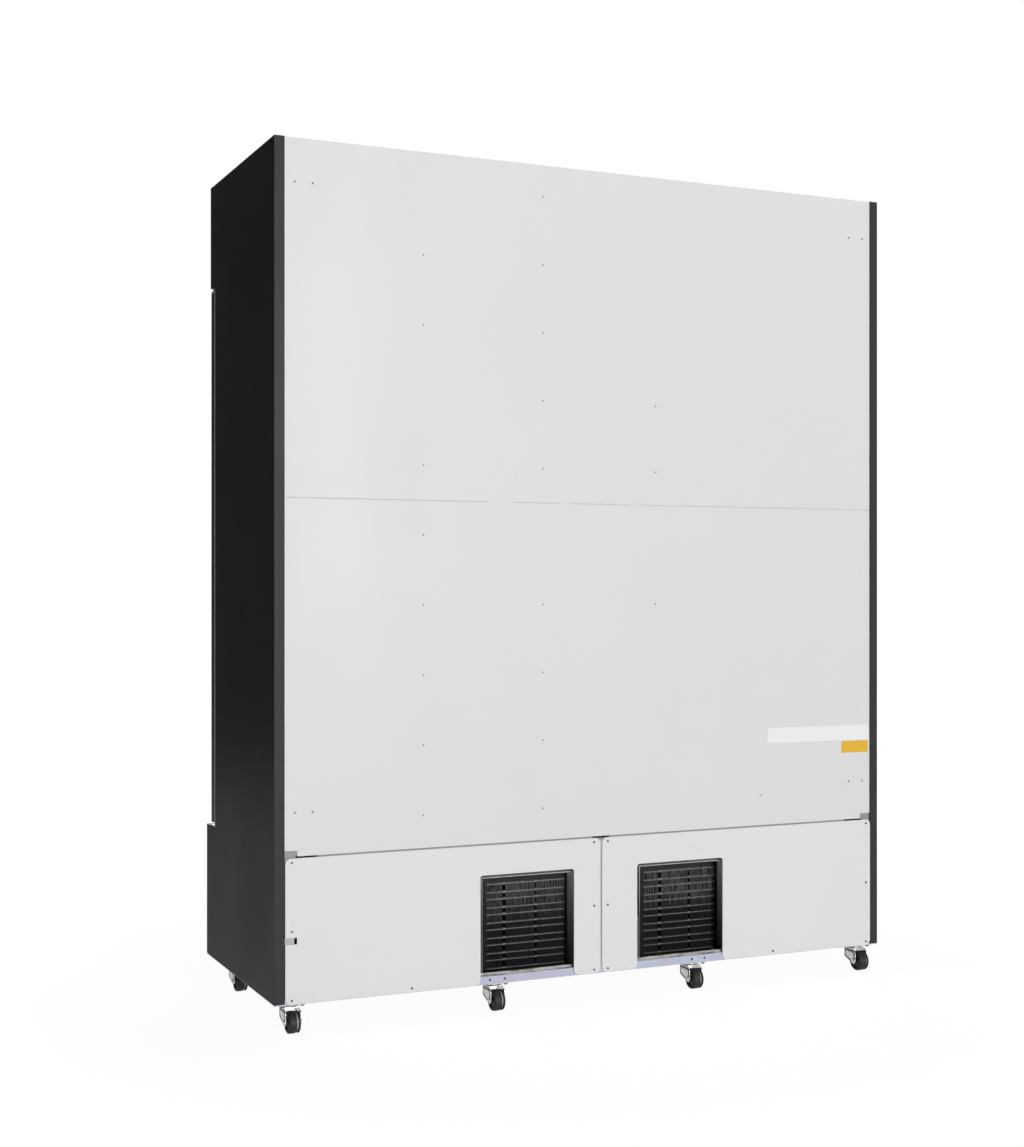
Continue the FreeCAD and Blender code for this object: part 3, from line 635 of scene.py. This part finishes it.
def softened(node, coats, edge, segments=2, fit=None):
    # a copy of a sheet-metal node with its corners rounded over
    bm = bmesh.new()
    bm.from_mesh(nodes[node].data)
    bmesh.ops.remove_doubles(bm, verts=bm.verts, dist=tiny)
    if fit:
        fit(bm, node)
    bmesh.ops.dissolve_limit(bm, angle_limit=math.radians(1.0), verts=bm.verts, edges=bm.edges)
    sharp = [e for e in bm.edges if e.is_manifold and e.calc_face_angle(0.0) > math.radians(30.0)]
    roundOver(bm, sharp, edge, segments, clamp=True)
    if len(coats) > 1:
        second = secondCoat[node]
        for face in bm.faces:
            face.material_index = int(second(face))
    body = nodes[node]["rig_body"]
    piece = newPiece(node + "_finished", bm, coats, body, (node,), slotOf[node], turnOut=False)
    even = piece.modifiers.new("evenNormals", "WEIGHTED_NORMAL")
    even.keep_sharp = True


def dress(node, *coats):
    mesh = nodes[node].data
    mesh.materials.clear()
    for coat in coats:
        mesh.materials.append(finish[coat])


# Sheet-metal body

softSheets = {
    "side_panel_left": ("blackSheet", 0.9), "side_panel_right": ("blackSheet", 0.9),
    "back_panel_upper": ("panelGrey", 0.35), "back_panel_lower": ("panelGrey", 0.35),
    "top_panel": ("panelGrey", 0.3), "rear_cover_left": ("coverGrey coverEdge", 0.55),
    "rear_cover_right": ("coverGrey coverEdge", 0.55), "canopy_housing": ("blackSheet", 0.6),
    "front_frame": ("blackSheet", 0.5), "front_grille": ("blackSheet", 0.5),
    "base_frame": ("frameCoat", 0.25), "unit_trays": ("trayZinc", 0.3),
    "evaporator_cover": ("linerWhite", 0.6),
    "hinge_plates": ("hingeGold hingeZinc", 0.4), "fan_motors": ("motorIron", 0.8),
}

# where the photo differs from the source by a few millimetres
cutoutSpec = {"top": 322.0, "corner": 10.0, "corners": (7.0, 3.0), "reach": 16.0}
fitSpec = {
    "rear_cover_right": {"cutout": (72.2, 312.0), "move": 0.0},
    "rear_cover_left": {"cutout": (-344.3, -105.4), "move": 3.6},
    "unit_trays": {"tabs": (-115.0, 300.0), "above": 79.9, "behind": 280.0, "move": 3.5},
}


def isRolled(face):
    return max(abs(part) for part in face.normal) < 0.98


def isLow(face):
    return face.calc_center_median().z < 1.0


# which faces take a sheet's second coat; on the covers it is a painted highlight along the rolled edges
secondCoat = {"rear_cover_left": isRolled, "rear_cover_right": isRolled, "hinge_plates": isLow}


def fitCover(bm, node):
    # tighter corners at the top of the cut-out, and its edge where the photo has it
    spec = fitSpec[node]
    old, top = cutoutSpec["corner"], cutoutSpec["top"]
    for edgeX, side, new in zip(spec["cutout"], (-1, 1), cutoutSpec["corners"]):
        was = Vector(((edgeX - side * old) * mm, (top - old) * mm))
        now = Vector(((edgeX - side * new) * mm, (top - new) * mm))
        for vert in bm.verts:
            away = Vector((vert.co.x, vert.co.z)) - was
            if away.x * side > -1e-5 and away.y > -1e-5 and away.length < (old + 2.0) * mm:
                spot = now + away.normalized() * (new * mm + away.length - old * mm)
                vert.co.x, vert.co.z = spot
    for vert in bm.verts:
        if abs(vert.co.x - spec["cutout"][1] * mm) < cutoutSpec["reach"] * mm:
            vert.co.x += spec["move"] * mm


def fitTray(bm, node):
    # each tab's inner edge, a little farther out
    spec = fitSpec[node]
    for vert in bm.verts:
        x, y, z = vert.co / mm
        if z > spec["above"] and y > spec["behind"] and any(abs(x - tab) < 0.2 for tab in spec["tabs"]):
            vert.co.x += spec["move"] * mm


fits = {"rear_cover_left": fitCover, "rear_cover_right": fitCover, "unit_trays": fitTray}

for sheetName, (coatNames, edge) in softSheets.items():
    softened(sheetName, coatNames.split(), edge * mm, fit=fits.get(sheetName))

for doorSide in ("left", "centre", "right"):
    softened(f"door_frame_{doorSide}", ("doorBlack",), 0.7 * mm)
    softened(f"door_handle_{doorSide}", ("handleSatin",), 1.2 * mm, 3)
    softened(f"door_gasket_{doorSide}", ("sealGrey",), 0.8 * mm)
    dress(f"door_glass_{doorSide}", "pane")

dress("foam_body", "foam")
dress("liner", "linerWhite")
dress("sign_panel", "opal")
dress("led_strips", "lampWhite")
dress("shelf_standards", "linerWhite")
dress("evaporator_coil", "coilFins")
print("sheet metal and doors made")


# Casters

casterSpec = {
    "x": {"left": -764.0, "inner_left": -271.0, "inner_right": 264.0, "right": 760.5},
    "y": {"rear": 258.0, "front": -178.0},
    "trail": 20.0, "radius": 25.0, "half": 13.5, "bore": 3.05, "axle": 2.98,
    "forkInner": 16.5, "forkSheet": 2.0, "crown": 58.0, "seam": 53.0, "boss": 8.0, "bend": 3.4,
    "brow": (-19.0, 31.0), "front": -19.0, "back": 21.0, "edge": 0.45,
    "rear": [(28.0, 45.0), (25.5, 50.0)], "legDark": (4.2, 1.6), "legRise": 0.55,
    "core": {"side": (-9.05, -4.65), "reach": (8.0, 21.5)}, "treadFrom": 17.0,
}

# the plate on top, with its race, kingpin and four bolts
plateSpec = {
    "top": 67.0, "sheet": 3.0, "half": 30.0, "corner": 6.0, "edge": 0.4, "bolts": 22.5,
    "kingpin": (55.0, 60.0, 4.0),
    "race": [(0.0, -5.7), (14.0, -5.4), (18.2, -4.7), (18.8, -3.7), (18.8, -2.3), (17.6, -0.9),
             (19.0, 0.3), (0.0, 0.3)],
    "rivet": [(0.0, 53.0), (4.6, 53.1), (6.2, 53.8), (6.5, 54.8), (6.3, 55.2), (0.0, 55.2)],
    "bolt": [(0.0, -4.0), (4.2, -4.0), (5.0, -3.4), (5.0, -0.8), (6.4, -0.8), (6.4, 0.0), (0.0, 0.0)],
}


def makeWheel(name, x, y):
    spec = casterSpec
    half, bore = spec["half"], spec["bore"]
    # a wide tread and a narrow disc on one hub, with the pale core showing between them
    tread = [(bore, 13.3), (6.6, 13.3), (7.2, 12.9), (7.6, 11.0), (9.0, 9.8), (14.6, 9.6), (15.4, 10.4),
             (16.0, 12.2), (17.4, 13.2), (20.2, half), (22.2, 13.1), (23.9, 11.9), (24.8, 10.2),
             (25.0, 8.0), (25.0, 0.0), (24.9, -3.4), (24.0, -4.5), (21.4, -4.7)]
    waist = [(18.6, -4.9), (18.2, -6.8), (18.6, -8.8)]
    disc = [(21.4, -9.0), (23.6, -9.1), (24.5, -9.9), (24.5, -11.6), (23.4, -12.9), (21.6, -half),
            (17.4, -13.2), (16.0, -12.2), (15.4, -10.4), (14.6, -9.6), (9.0, -9.8), (7.6, -11.0),
            (7.2, -12.9), (6.6, -13.3), (bore, -13.3)]
    bm = bmesh.new()
    centre = (x * mm, (y + spec["trail"]) * mm, spec["radius"] * mm)
    addTurned(bm, inMetres(tread + waist + disc), centre, (1, 0, 0), 40, True)
    side0, side1, reach0, reach1 = *spec["core"]["side"], *spec["core"]["reach"]
    for face in bm.faces:
        side, y, z = (face.calc_center_median() - Vector(centre)) / mm
        reach = math.hypot(y, z)
        if side0 < side < side1 and reach0 < reach < reach1:
            face.material_index = 2
        else:
            face.material_index = 0 if reach > spec["treadFrom"] else 1
    newPiece(name + "_tyre", bm, ("treadBlack", "hubBlack", "hubPale"), name, (name,), "tread")


def pressLeg(bm, face, side):
    # a raised panel with a border in painted shade
    for wide in casterSpec["legDark"]:
        made = bmesh.ops.inset_individual(bm, faces=[face], thickness=wide * mm, use_even_offset=True)
        for ring in made["faces"]:
            ring.material_index = 1
    bmesh.ops.translate(bm, vec=(casterSpec["legRise"] * mm * side, 0.0, 0.0), verts=list(face.verts))


def makeFork(name, x, y):
    spec = casterSpec
    inner, outer = spec["forkInner"], spec["forkInner"] + spec["forkSheet"]
    crown, seam, boss, bend = spec["crown"], spec["seam"], spec["boss"], spec["bend"]
    sheet, edge = spec["forkSheet"] * mm, spec["edge"] * mm
    axleY, axleZ = spec["trail"], spec["radius"]
    bm = bmesh.new()
    # legs: an outline in (y, z), drawn on both sides of the wheel
    brow, front, back = spec["brow"], spec["front"], spec["back"]
    reach = math.hypot(axleY - brow[0], axleZ - brow[1])
    slope = math.degrees(math.atan2(axleZ - brow[1], axleY - brow[0]))
    tangent = slope - math.degrees(math.asin(boss / reach)) - 90.0
    foot = arcPoints((axleY, axleZ), boss, tangent, 0.0, 12)
    outline = foot + spec["rear"] + [(back, seam), (front, seam), brow]
    for left in (-outer, inner):
        place = Matrix(((0, 0, 1, (x + left) * mm), (1, 0, 0, y * mm), (0, 1, 0, 0), (0, 0, 0, 1)))

        def onSeam(line):
            spots = [v.co for v in line.verts]
            return all(abs(p.z - seam * mm) < tiny and p.y < (y + back + 0.1) * mm for p in spots)

        addPlate(bm, inMetres(outline), sheet, place, edge, onSeam)
        side = -1 if left < 0 else 1
        outward = [f for f in bm.faces if f.normal.x * side > 0.99]
        pressLeg(bm, max(outward, key=lambda f: (f.calc_center_median().x * side, f.calc_area())), side)
    # crown: the sheet bent over the wheel, with the two bends rounded
    tight = bend - spec["forkSheet"]
    over = [(-outer, seam)] + arcPoints((-outer + bend, crown - bend), bend, 180, 90, 6)
    over += arcPoints((outer - bend, crown - bend), bend, 90, 0, 6) + [(outer, seam)]
    over += [(inner, seam)] + arcPoints((inner - tight, crown - bend), tight, 0, 90, 4)
    over += arcPoints((-inner + tight, crown - bend), tight, 90, 180, 4) + [(-inner, seam)]
    place = Matrix(((1, 0, 0, x * mm), (0, 0, -1, (y + back) * mm), (0, 1, 0, 0), (0, 0, 0, 1)))

    def acrossSeam(line):
        one, other = (v.co for v in line.verts)
        level = all(abs(spot.z - seam * mm) < tiny for spot in (one, other))
        return level or abs(one.y - other.y) > 1.0 * mm

    addPlate(bm, inMetres(over), (back - front) * mm, place, edge, acrossSeam)
    # axle bolt with its head and nut, each on a washer
    washer = [(0.0, 0.0), (7.2, 0.0), (7.2, 0.6), (6.6, 0.9), (0.0, 0.9)]
    nut = [(0.0, 0.8), (5.4, 0.8), (5.4, 2.3), (4.6, 2.9), (0.0, 2.9)]
    ends = [((x + side * outer) * mm, (y + axleY) * mm, axleZ * mm) for side in (-1, 1)]
    for end, side in zip(ends, (-1, 1)):
        for profile, steps in ((washer, 20), (nut, 6)):
            addTurned(bm, inMetres(profile), end, (side, 0, 0), steps)
    addRod(bm, *ends, spec["axle"] * mm, 20)
    newPiece(name + "_bracket", bm, ("casterZinc", "zincShadow"), name, (name,), "zinc")


def makeCasterPlates():
    spec = plateSpec
    half, corner, bolts, sheet = spec["half"], spec["corner"], spec["bolts"], spec["sheet"]
    under = (spec["top"] - sheet) * mm
    low, high, radius = (part * mm for part in spec["kingpin"])
    outline = inMetres(roundedRectangle(-half, half, -half, half, corner))
    race, rivet, bolt = (inMetres(spec[key]) for key in ("race", "rivet", "bolt"))
    bm = bmesh.new()
    for rowY in casterSpec["y"].values():
        for columnX in casterSpec["x"].values():
            x, y = columnX * mm, rowY * mm
            place = Matrix.Translation((x, y, under))
            addPlate(bm, outline, sheet * mm, place, spec["edge"] * mm)
            addTurned(bm, race, (x, y, under), (0, 0, 1), 32)
            addRod(bm, (x, y, low), (x, y, high), radius, 16)
            addTurned(bm, rivet, (x, y, 0.0), (0, 0, 1), 20)
            for dx in (-bolts, bolts):
                for dy in (-bolts, bolts):
                    spot = ((columnX + dx) * mm, (rowY + dy) * mm, under)
                    addTurned(bm, bolt, spot, (0, 0, 1), 6)
                    # the heads below the plate take painted shade
                    for face in bm.faces:
                        middle = face.calc_center_median() - Vector(spot)
                        if middle.length < 8.0 * mm and middle.z < -0.1 * mm:
                            face.material_index = 1
    newPiece("casterTops", bm, ("casterZinc", "zincShadow"), "cabinet", ("caster_plates",), "zinc")


for row, casterY in casterSpec["y"].items():
    for column, casterX in casterSpec["x"].items():
        makeWheel(f"caster_wheel_{row}_{column}", casterX, casterY)
        makeFork(f"caster_fork_{row}_{column}", casterX, casterY)
makeCasterPlates()
print("casters made")


# Screw heads, at the places of the source's own heads

def looseParts(bm):
    left = set(bm.verts)
    while left:
        batch, part = [left.pop()], []
        while batch:
            vert = batch.pop()
            part.append(vert)
            for edge in vert.link_edges:
                other = edge.other_vert(vert)
                if other in left:
                    left.discard(other)
                    batch.append(other)
        yield part


screwSpec = {
    # share of the head's radius, height over the sheet: recess, crown, rim
    "head": [(0.0, 0.7), (0.29, 0.75), (0.4, 1.75), (0.7, 1.7), (0.93, 1.15), (1.0, 0.5), (1.0, 0.0)],
    "small": 2.5, "inside": 600.0, "smaller": 0.8,
}


def makeScrews():
    spec = screwSpec
    source = bmesh.new()
    source.from_mesh(nodes["rear_screws"].data)
    bmesh.ops.remove_doubles(source, verts=source.verts, dist=tiny)
    bm = bmesh.new()
    for part in looseParts(source):
        spots = [v.co for v in part]
        middle = sum(spots, Vector()) / len(spots)
        foot = Vector((middle.x, min(p.y for p in spots), middle.z))
        radius = max(p.x for p in spots) - middle.x
        # the small heads inside the panels are painted over
        pale = radius < spec["small"] * mm and abs(middle.x) < spec["inside"] * mm
        known = set(bm.faces)
        radius *= spec["smaller"] if pale else 1.0
        head = [(share * radius, d * mm) for share, d in spec["head"]]
        addTurned(bm, head, foot, (0, 1, 0), 12)
        for face in bm.faces:
            if pale and face not in known:
                face.material_index = 1
    source.free()
    newPiece("screwHeads", bm, ("screwDark", "screwPale"), "cabinet", ("rear_screws",), "screw")


makeScrews()
print("screws made")


# Condensers behind the cut-outs of the rear covers

condenserSpec = {
    "units": ({"wallLeft": -353.0, "wallRight": -114.5, "fins": (-348.0, -143.6), "fan": -228.0},
              {"wallLeft": 66.5, "wallRight": 303.0, "fins": (72.5, 277.2), "fan": 187.0}),
    "front": 250.0, "depth": 44.0, "low": 86.0, "high": 295.5,
    "count": 80, "fin": 0.3, "lip": (1.9, 2.45), "lipSheet": 0.2, "gaps": (46.0, 130.0), "gapHalf": 2.7,
    "rows": 12, "pitch": 17.95, "top": 291.0, "odd": 1.9, "depths": (3.36, 27.0), "radius": 3.5,
    "start": 1.5, "bendStart": 6.0,
}


def makeCondenserFins():
    # each fin's front edge is bent over a little
    spec = condenserSpec
    bm = bmesh.new()
    front, low, high = spec["front"], spec["low"], spec["high"]
    for unit in spec["units"]:
        x0, x1 = unit["fins"]
        step = (x1 - x0 - spec["lip"][1]) / (spec["count"] - 1)
        for i in range(spec["count"]):
            x = x0 + step * i
            if any(abs(x1 - gap - x) < spec["gapHalf"] for gap in spec["gaps"]):
                continue
            lip = spec["lip"][0] + (spec["lip"][1] - spec["lip"][0]) * (i * 7 % 11) / 10
            for wide, deep in ((spec["fin"], spec["depth"]), (lip, spec["lipSheet"])):
                start, end = Vector((x, front - deep, low)), Vector((x + wide, front, high))
                addBox(bm, start * mm, end * mm)
    newPiece("condenserFins", bm, ("fins",), "cabinet", ("condenser_fins",), "fin_aluminium")


def makeCondenserTubes():
    # two rows of tubes, every second level a little lower
    spec = condenserSpec
    pitch, front, radius = spec["pitch"], spec["front"], spec["radius"] * mm
    sideways = Vector((1, 0, 0))
    levels = [spec["top"] - pitch * i - (spec["odd"] if i % 2 else 0.0) for i in range(spec["rows"])]
    bm = bmesh.new()
    for unit in spec["units"]:
        start, end = unit["fins"][0] + spec["start"], unit["fins"][1] + spec["bendStart"]
        for row, depth in enumerate(spec["depths"]):
            for i in range(spec["rows"] - row):
                y, z = front - depth, levels[i] - pitch / 2 * row
                addRod(bm, (start * mm, y * mm, z * mm), (end * mm, y * mm, z * mm), radius, 24)
        # return bends join the rows beside the fins
        for i in range(spec["rows"] - 1):
            upper = Vector((end, front - spec["depths"][0], levels[i]))
            lower = Vector((end, front - spec["depths"][1], levels[i] - pitch / 2))
            middle, reach = (upper + lower) / 2, (upper - lower) / 2
            ring = bmesh.ops.create_circle(
                bm, segments=10, radius=radius, matrix=Matrix.Translation(upper * mm) @ facing(sideways),
            )
            edges = list({e for v in ring["verts"] for e in v.link_edges})
            turnAxis = sideways.cross(reach).normalized()
            bmesh.ops.spin(
                bm, geom=ring["verts"] + edges, cent=middle * mm, axis=turnAxis, angle=-math.pi, steps=6,
            )
    newPiece("condenserTubes", bm, ("tube",), "cabinet", ("condenser_tubes",), "copper")


shroudSpec = {
    "back": 175.0, "front": 284.0, "low": 83.0, "high": 314.0, "sheet": 1.2, "edge": 0.3,
    "flange": 24.0, "flangeBack": 50.0, "mouth": 102.0, "fanZ": 190.0, "steps": 48,
    "frameTop": 312.6, "frameBack": 0.4, "frameFront": 0.8,
    "wallGap": 0.2, "finGap": 0.4, "topGap": 0.3,
}


def addMouthPlate(bm, x0, x1, fanX):
    # the shroud's back: one loop round the fan's mouth, one round the sheet
    spec = shroudSpec
    low, high, back, full = spec["low"], spec["high"], spec["back"] * mm, 2 * math.pi
    centre = Vector((fanX, spec["fanZ"]))
    corners = [Vector(c) - centre for c in ((x1, high), (x0, high), (x0, low), (x1, low))]
    turns = [full * i / spec["steps"] for i in range(spec["steps"])]
    turns = sorted(turns + [math.atan2(c.y, c.x) % full for c in corners])
    rings = ([], [])
    for turn in turns:
        across, up = math.cos(turn), math.sin(turn)
        reach = min(
            (x1 - centre.x if across > 0 else x0 - centre.x) / across if abs(across) > 1e-9 else 1e9,
            (high - centre.y if up > 0 else low - centre.y) / up if abs(up) > 1e-9 else 1e9,
        )
        for ring, radius in zip(rings, (spec["mouth"], reach)):
            x, z = centre.x + across * radius, centre.y + up * radius
            ring.append(bm.verts.new((x * mm, back, z * mm)))
    inner, outer = rings
    faces = []
    for i in range(len(turns)):
        j = (i + 1) % len(turns)
        faces.append(bm.faces.new((inner[i], inner[j], outer[j], outer[i])))
    made = bmesh.ops.extrude_face_region(bm, geom=faces)
    moved = [v for v in made["geom"] if isinstance(v, bmesh.types.BMVert)]
    bmesh.ops.translate(bm, vec=(0.0, -spec["sheet"] * mm, 0.0), verts=moved)


def makeShrouds():
    # walls, a roof whose flange keeps light out beside them, the back, and the coil's black frame in
    # painted shade
    spec = shroudSpec
    back, front, low, high, sheet = (spec[key] for key in ("back", "front", "low", "high", "sheet"))
    coil, fence = condenserSpec["front"], condenserSpec["high"] + spec["topGap"]
    frameY = (coil - spec["frameBack"], coil + spec["frameFront"])
    frameTop, gap = spec["frameTop"], spec["wallGap"]
    bm = bmesh.new()
    for unit in condenserSpec["units"]:
        wall0, wall1 = unit["wallLeft"], unit["wallRight"]
        x0, x1 = wall0 - sheet, wall1 + sheet
        sheets = (
            ((x0, wall0), (back, front), (low, high)),
            ((wall1, x1), (back, front), (low, high)),
            ((wall0, wall1), (back, front), (high - sheet, high)),
            ((x0 - spec["flange"], x0), (front - spec["flangeBack"], front), (high - sheet, high)),
        )
        for sides in sheets:
            addBox(bm, *(Vector(corner) * mm for corner in zip(*sides)), spec["edge"] * mm, 1)
        addMouthPlate(bm, x0, x1, unit["fan"])
        known = set(bm.faces)
        # the frame's strips beside and above the fins take painted shade
        fins0, fins1 = unit["fins"][0] - spec["finGap"], unit["fins"][1] + spec["finGap"]
        frames = (
            ((fins1, wall1 - gap), frameY, (low + 1, frameTop)),
            ((wall0 + gap, fins1), frameY, (fence, frameTop)),
            ((wall0 + gap, fins0), frameY, (low + 1, fence)),
        )
        for sides in frames:
            addBox(bm, *(Vector(corner) * mm for corner in zip(*sides)))
        for face in bm.faces:
            if face not in known:
                face.material_index = 1
    node = "condenser_shrouds"
    newPiece("condenserShrouds", bm, ("shroudPaintedLight", "shadedCoilFrame"), "cabinet", (node,), slotOf[node])


makeCondenserFins()
makeCondenserTubes()
makeShrouds()
print("condensers made")


# Fans

fanSpec = {
    "condenser_fan_right": {"centre": (187.0, 172.0, 190.0), "radius": 98.0, "hub": 24.0, "deep": 26.0},
    "condenser_fan_left": {"centre": (-228.0, 172.0, 190.0), "radius": 98.0, "hub": 24.0, "deep": 26.0},
    "evaporator_fan_right": {
        "centre": (250.0, -136.0, 1854.4), "radius": 73.0, "hub": 20.0, "deep": 24.0,
    },
    "evaporator_fan_left": {
        "centre": (-250.0, -136.0, 1854.4), "radius": 73.0, "hub": 20.0, "deep": 24.0,
    },
}


# shares of the fan's radius, degrees, and millimetres
bladeSpec = {
    "count": 5, "root": 1.5, "tip": 1.0, "sheet": 1.4, "chord": 0.62, "width": (0.55, 0.45, 1.6),
    "pitch": (38.0, 14.0), "sweep": 0.1, "hollow": 0.1, "inward": 0.06, "flat": 0.62,
}


def makeFan(name):
    spec, blade = fanSpec[name], bladeSpec
    radius, hub, deep = spec["radius"], spec["hub"], spec["deep"]
    bm = bmesh.new()
    hubProfile = [(3.05, -deep / 2), (hub - 3, -deep / 2), (hub, -deep / 2 + 3), (hub, deep / 2 - 2),
                  (hub - 2, deep / 2), (hub - 5, deep / 2), (hub - 6, deep / 2 - 3), (9.0, deep / 2 - 3),
                  (8.0, deep / 2), (3.05, deep / 2)]
    addTurned(bm, inMetres(hubProfile), (0, 0, 0), (0, 1, 0), 32, True)
    root, tip, chord = hub - blade["root"], radius - blade["tip"], blade["chord"] * radius * mm
    narrow, more, growth = blade["width"]
    steep, ease = blade["pitch"]
    for i in range(blade["count"]):
        cells = bmesh.ops.create_grid(bm, x_segments=7, y_segments=6, size=0.5)["verts"]
        bmesh.ops.scale(bm, vec=((tip - root) * mm, chord, 1.0), verts=cells)
        bmesh.ops.translate(bm, vec=((root + tip) / 2 * mm, 0.0, 0.0), verts=cells)
        for vert in cells:
            # wider and flatter towards the tip, swept forward, hollow across
            share = (vert.co.x / mm - hub) / (radius - hub)
            wide = narrow + more * min(1.0, share * growth)
            pitch = math.radians(steep - ease * share)
            along = vert.co.y * wide + share * share * blade["sweep"] * radius * mm
            rise = blade["hollow"] * radius * mm * (0.25 - (vert.co.y / chord) ** 2)
            inward = 1.0 - blade["inward"] * (2 * vert.co.y / chord) ** 2
            deeper = along * math.sin(pitch) * blade["flat"] + rise
            vert.co = Vector((vert.co.x * inward, deeper, along * math.cos(pitch)))
        faces = list({f for v in cells for f in v.link_faces})
        bmesh.ops.recalc_face_normals(bm, faces=faces)
        edges = list({e for f in faces for e in f.edges})
        made = bmesh.ops.solidify(bm, geom=faces + edges + cells, thickness=blade["sheet"] * mm)
        shell = {g for g in made["geom"] if isinstance(g, bmesh.types.BMVert)} | set(cells)
        turn = Matrix.Rotation(2 * math.pi * i / blade["count"], 3, "Y")
        bmesh.ops.rotate(bm, cent=(0, 0, 0), matrix=turn, verts=list(shell))
    bmesh.ops.translate(bm, vec=Vector(spec["centre"]) * mm, verts=bm.verts)
    newPiece(name + "_blades", bm, ("fanBlack",), name, (name,), "fan_plastic", 50.0)


for fanName in fanSpec:
    makeFan(fanName)
print("fans made")


# Compressors: welded pots on rubber feet

compressorSpec = {
    "centres": (187.0, -228.0), "y": -40.0, "floor": 83.0, "foot": 97.0,
    "pot": [(0, 0), (58, 0), (70, 4), (76, 14), (76.5, 92), (80, 93), (80.5, 96), (80, 99), (76.5, 100),
            (76, 126), (72, 142), (62, 156), (48, 166), (28, 171), (0, 173)],
    "base": (95, 70, 20.0), "baseSheet": (4.0, 4.4, 0.8), "feet": (78, 53),
    "rubber": [(0, 0), (10, 0), (11, 1), (11, 3.5), (8.6, 5), (11, 6.5), (11, 9), (10, 10), (0, 10)],
    "box": ((-24, -92, 26), (24, -70, 86)), "boxEdge": 3.0,
}


def makeCompressors():
    # the pot with its weld, base plate, rubber feet and terminal box
    spec = compressorSpec
    halfX, halfY, corner = spec["base"]
    drop, sheet, edge = (part * mm for part in spec["baseSheet"])
    outline = inMetres(roundedRectangle(-halfX, halfX, -halfY, halfY, corner))
    pot, rubber = inMetres(spec["pot"]), inMetres(spec["rubber"])
    bm = bmesh.new()
    for x in spec["centres"]:
        y, z = spec["y"], spec["foot"]
        addTurned(bm, pot, (x * mm, y * mm, z * mm), (0, 0, 1), 48)
        place = Matrix.Translation((x * mm, y * mm, z * mm - drop))
        addPlate(bm, outline, sheet, place, edge)
        footX, footY = spec["feet"]
        for dx in (-footX, footX):
            for dy in (-footY, footY):
                spot = Vector((x + dx, y + dy, spec["floor"]))
                addTurned(bm, rubber, spot * mm, (0, 0, 1), 16)
        box = [(Vector((x, y, z)) + Vector(corner)) * mm for corner in spec["box"]]
        addBox(bm, *box, spec["boxEdge"] * mm)
    newPiece("compressorPots", bm, ("potBlack",), "cabinet", ("compressors",), "compressor_black")


makeCompressors()
print("compressors made")


# Wire shelves

shelfSpec = {
    "levels": (700.0, 950.0, 1200.0, 1450.0), "front": -150.0, "back": 236.0, "room": 764.8,
    "wires": 17, "rim": 2.6, "wire": 1.5, "rung": 2.0, "rungs": (0.33, 0.67), "high": 6.0, "gap": 6.0,
}


def makeShelves():
    # a rim, two rungs across, and wires from front to back
    spec = shelfSpec
    bay, gap = 2 * spec["room"] / 3, spec["gap"]
    rim, wire = spec["rim"], spec["wire"]
    y0, y1 = spec["front"] + rim, spec["back"] - rim
    bm = bmesh.new()

    def rod(start, end, radius, sides=8):
        addRod(bm, Vector(start) * mm, Vector(end) * mm, radius * mm, sides)

    for place in (-1, 0, 1):
        x0, x1 = place * bay - bay / 2 + gap, place * bay + bay / 2 - gap
        for z in spec["levels"]:
            low = z + rim
            for y in (y0, y1):
                rod((x0, y, low), (x1, y, low), rim)
            for x in (x0 + rim, x1 - rim):
                rod((x, y0, low), (x, y1, low), rim)
            for share in spec["rungs"]:
                y = y0 + (y1 - y0) * share
                rod((x0, y, low), (x1, y, low), spec["rung"])
            for i in range(1, spec["wires"]):
                x, top = x0 + (x1 - x0) * i / spec["wires"], z + spec["high"] - wire
                rod((x, y0 - 1, top), (x, y1 + 1, top), wire, 6)
    newPiece("wireShelves", bm, ("shelfWhite",), "cabinet", ("shelves",), "shelf_wire", 50.0)


makeShelves()
print("shelves made")


# Bare stickers on the lower back panel

stickerSheet = {"face": 295.0, "depth": 0.2, "corner": 1.5}
stickers = {
    "plainStickerWhite": {"x": (-779.0, -474.0), "z": (600.0, 638.0), "coat": "stickerWhite"},
    "plainStickerAmber": {"x": (-779.0, -697.0), "z": (567.0, 597.0), "coat": "stickerAmber"},
}


def makeSticker(name):
    spec = stickers[name]
    bm = bmesh.new()
    place = Matrix(((1, 0, 0, 0), (0, 0, -1, stickerSheet["face"] * mm), (0, 1, 0, 0), (0, 0, 0, 1)))
    outline = inMetres(roundedRectangle(*spec["x"], *spec["z"], stickerSheet["corner"], 3))
    addPlate(bm, outline, stickerSheet["depth"] * mm, place)
    newPiece(name, bm, (spec["coat"],), "cabinet", (), "grey_panel")


for stickerName in stickers:
    makeSticker(stickerName)
print("stickers made")
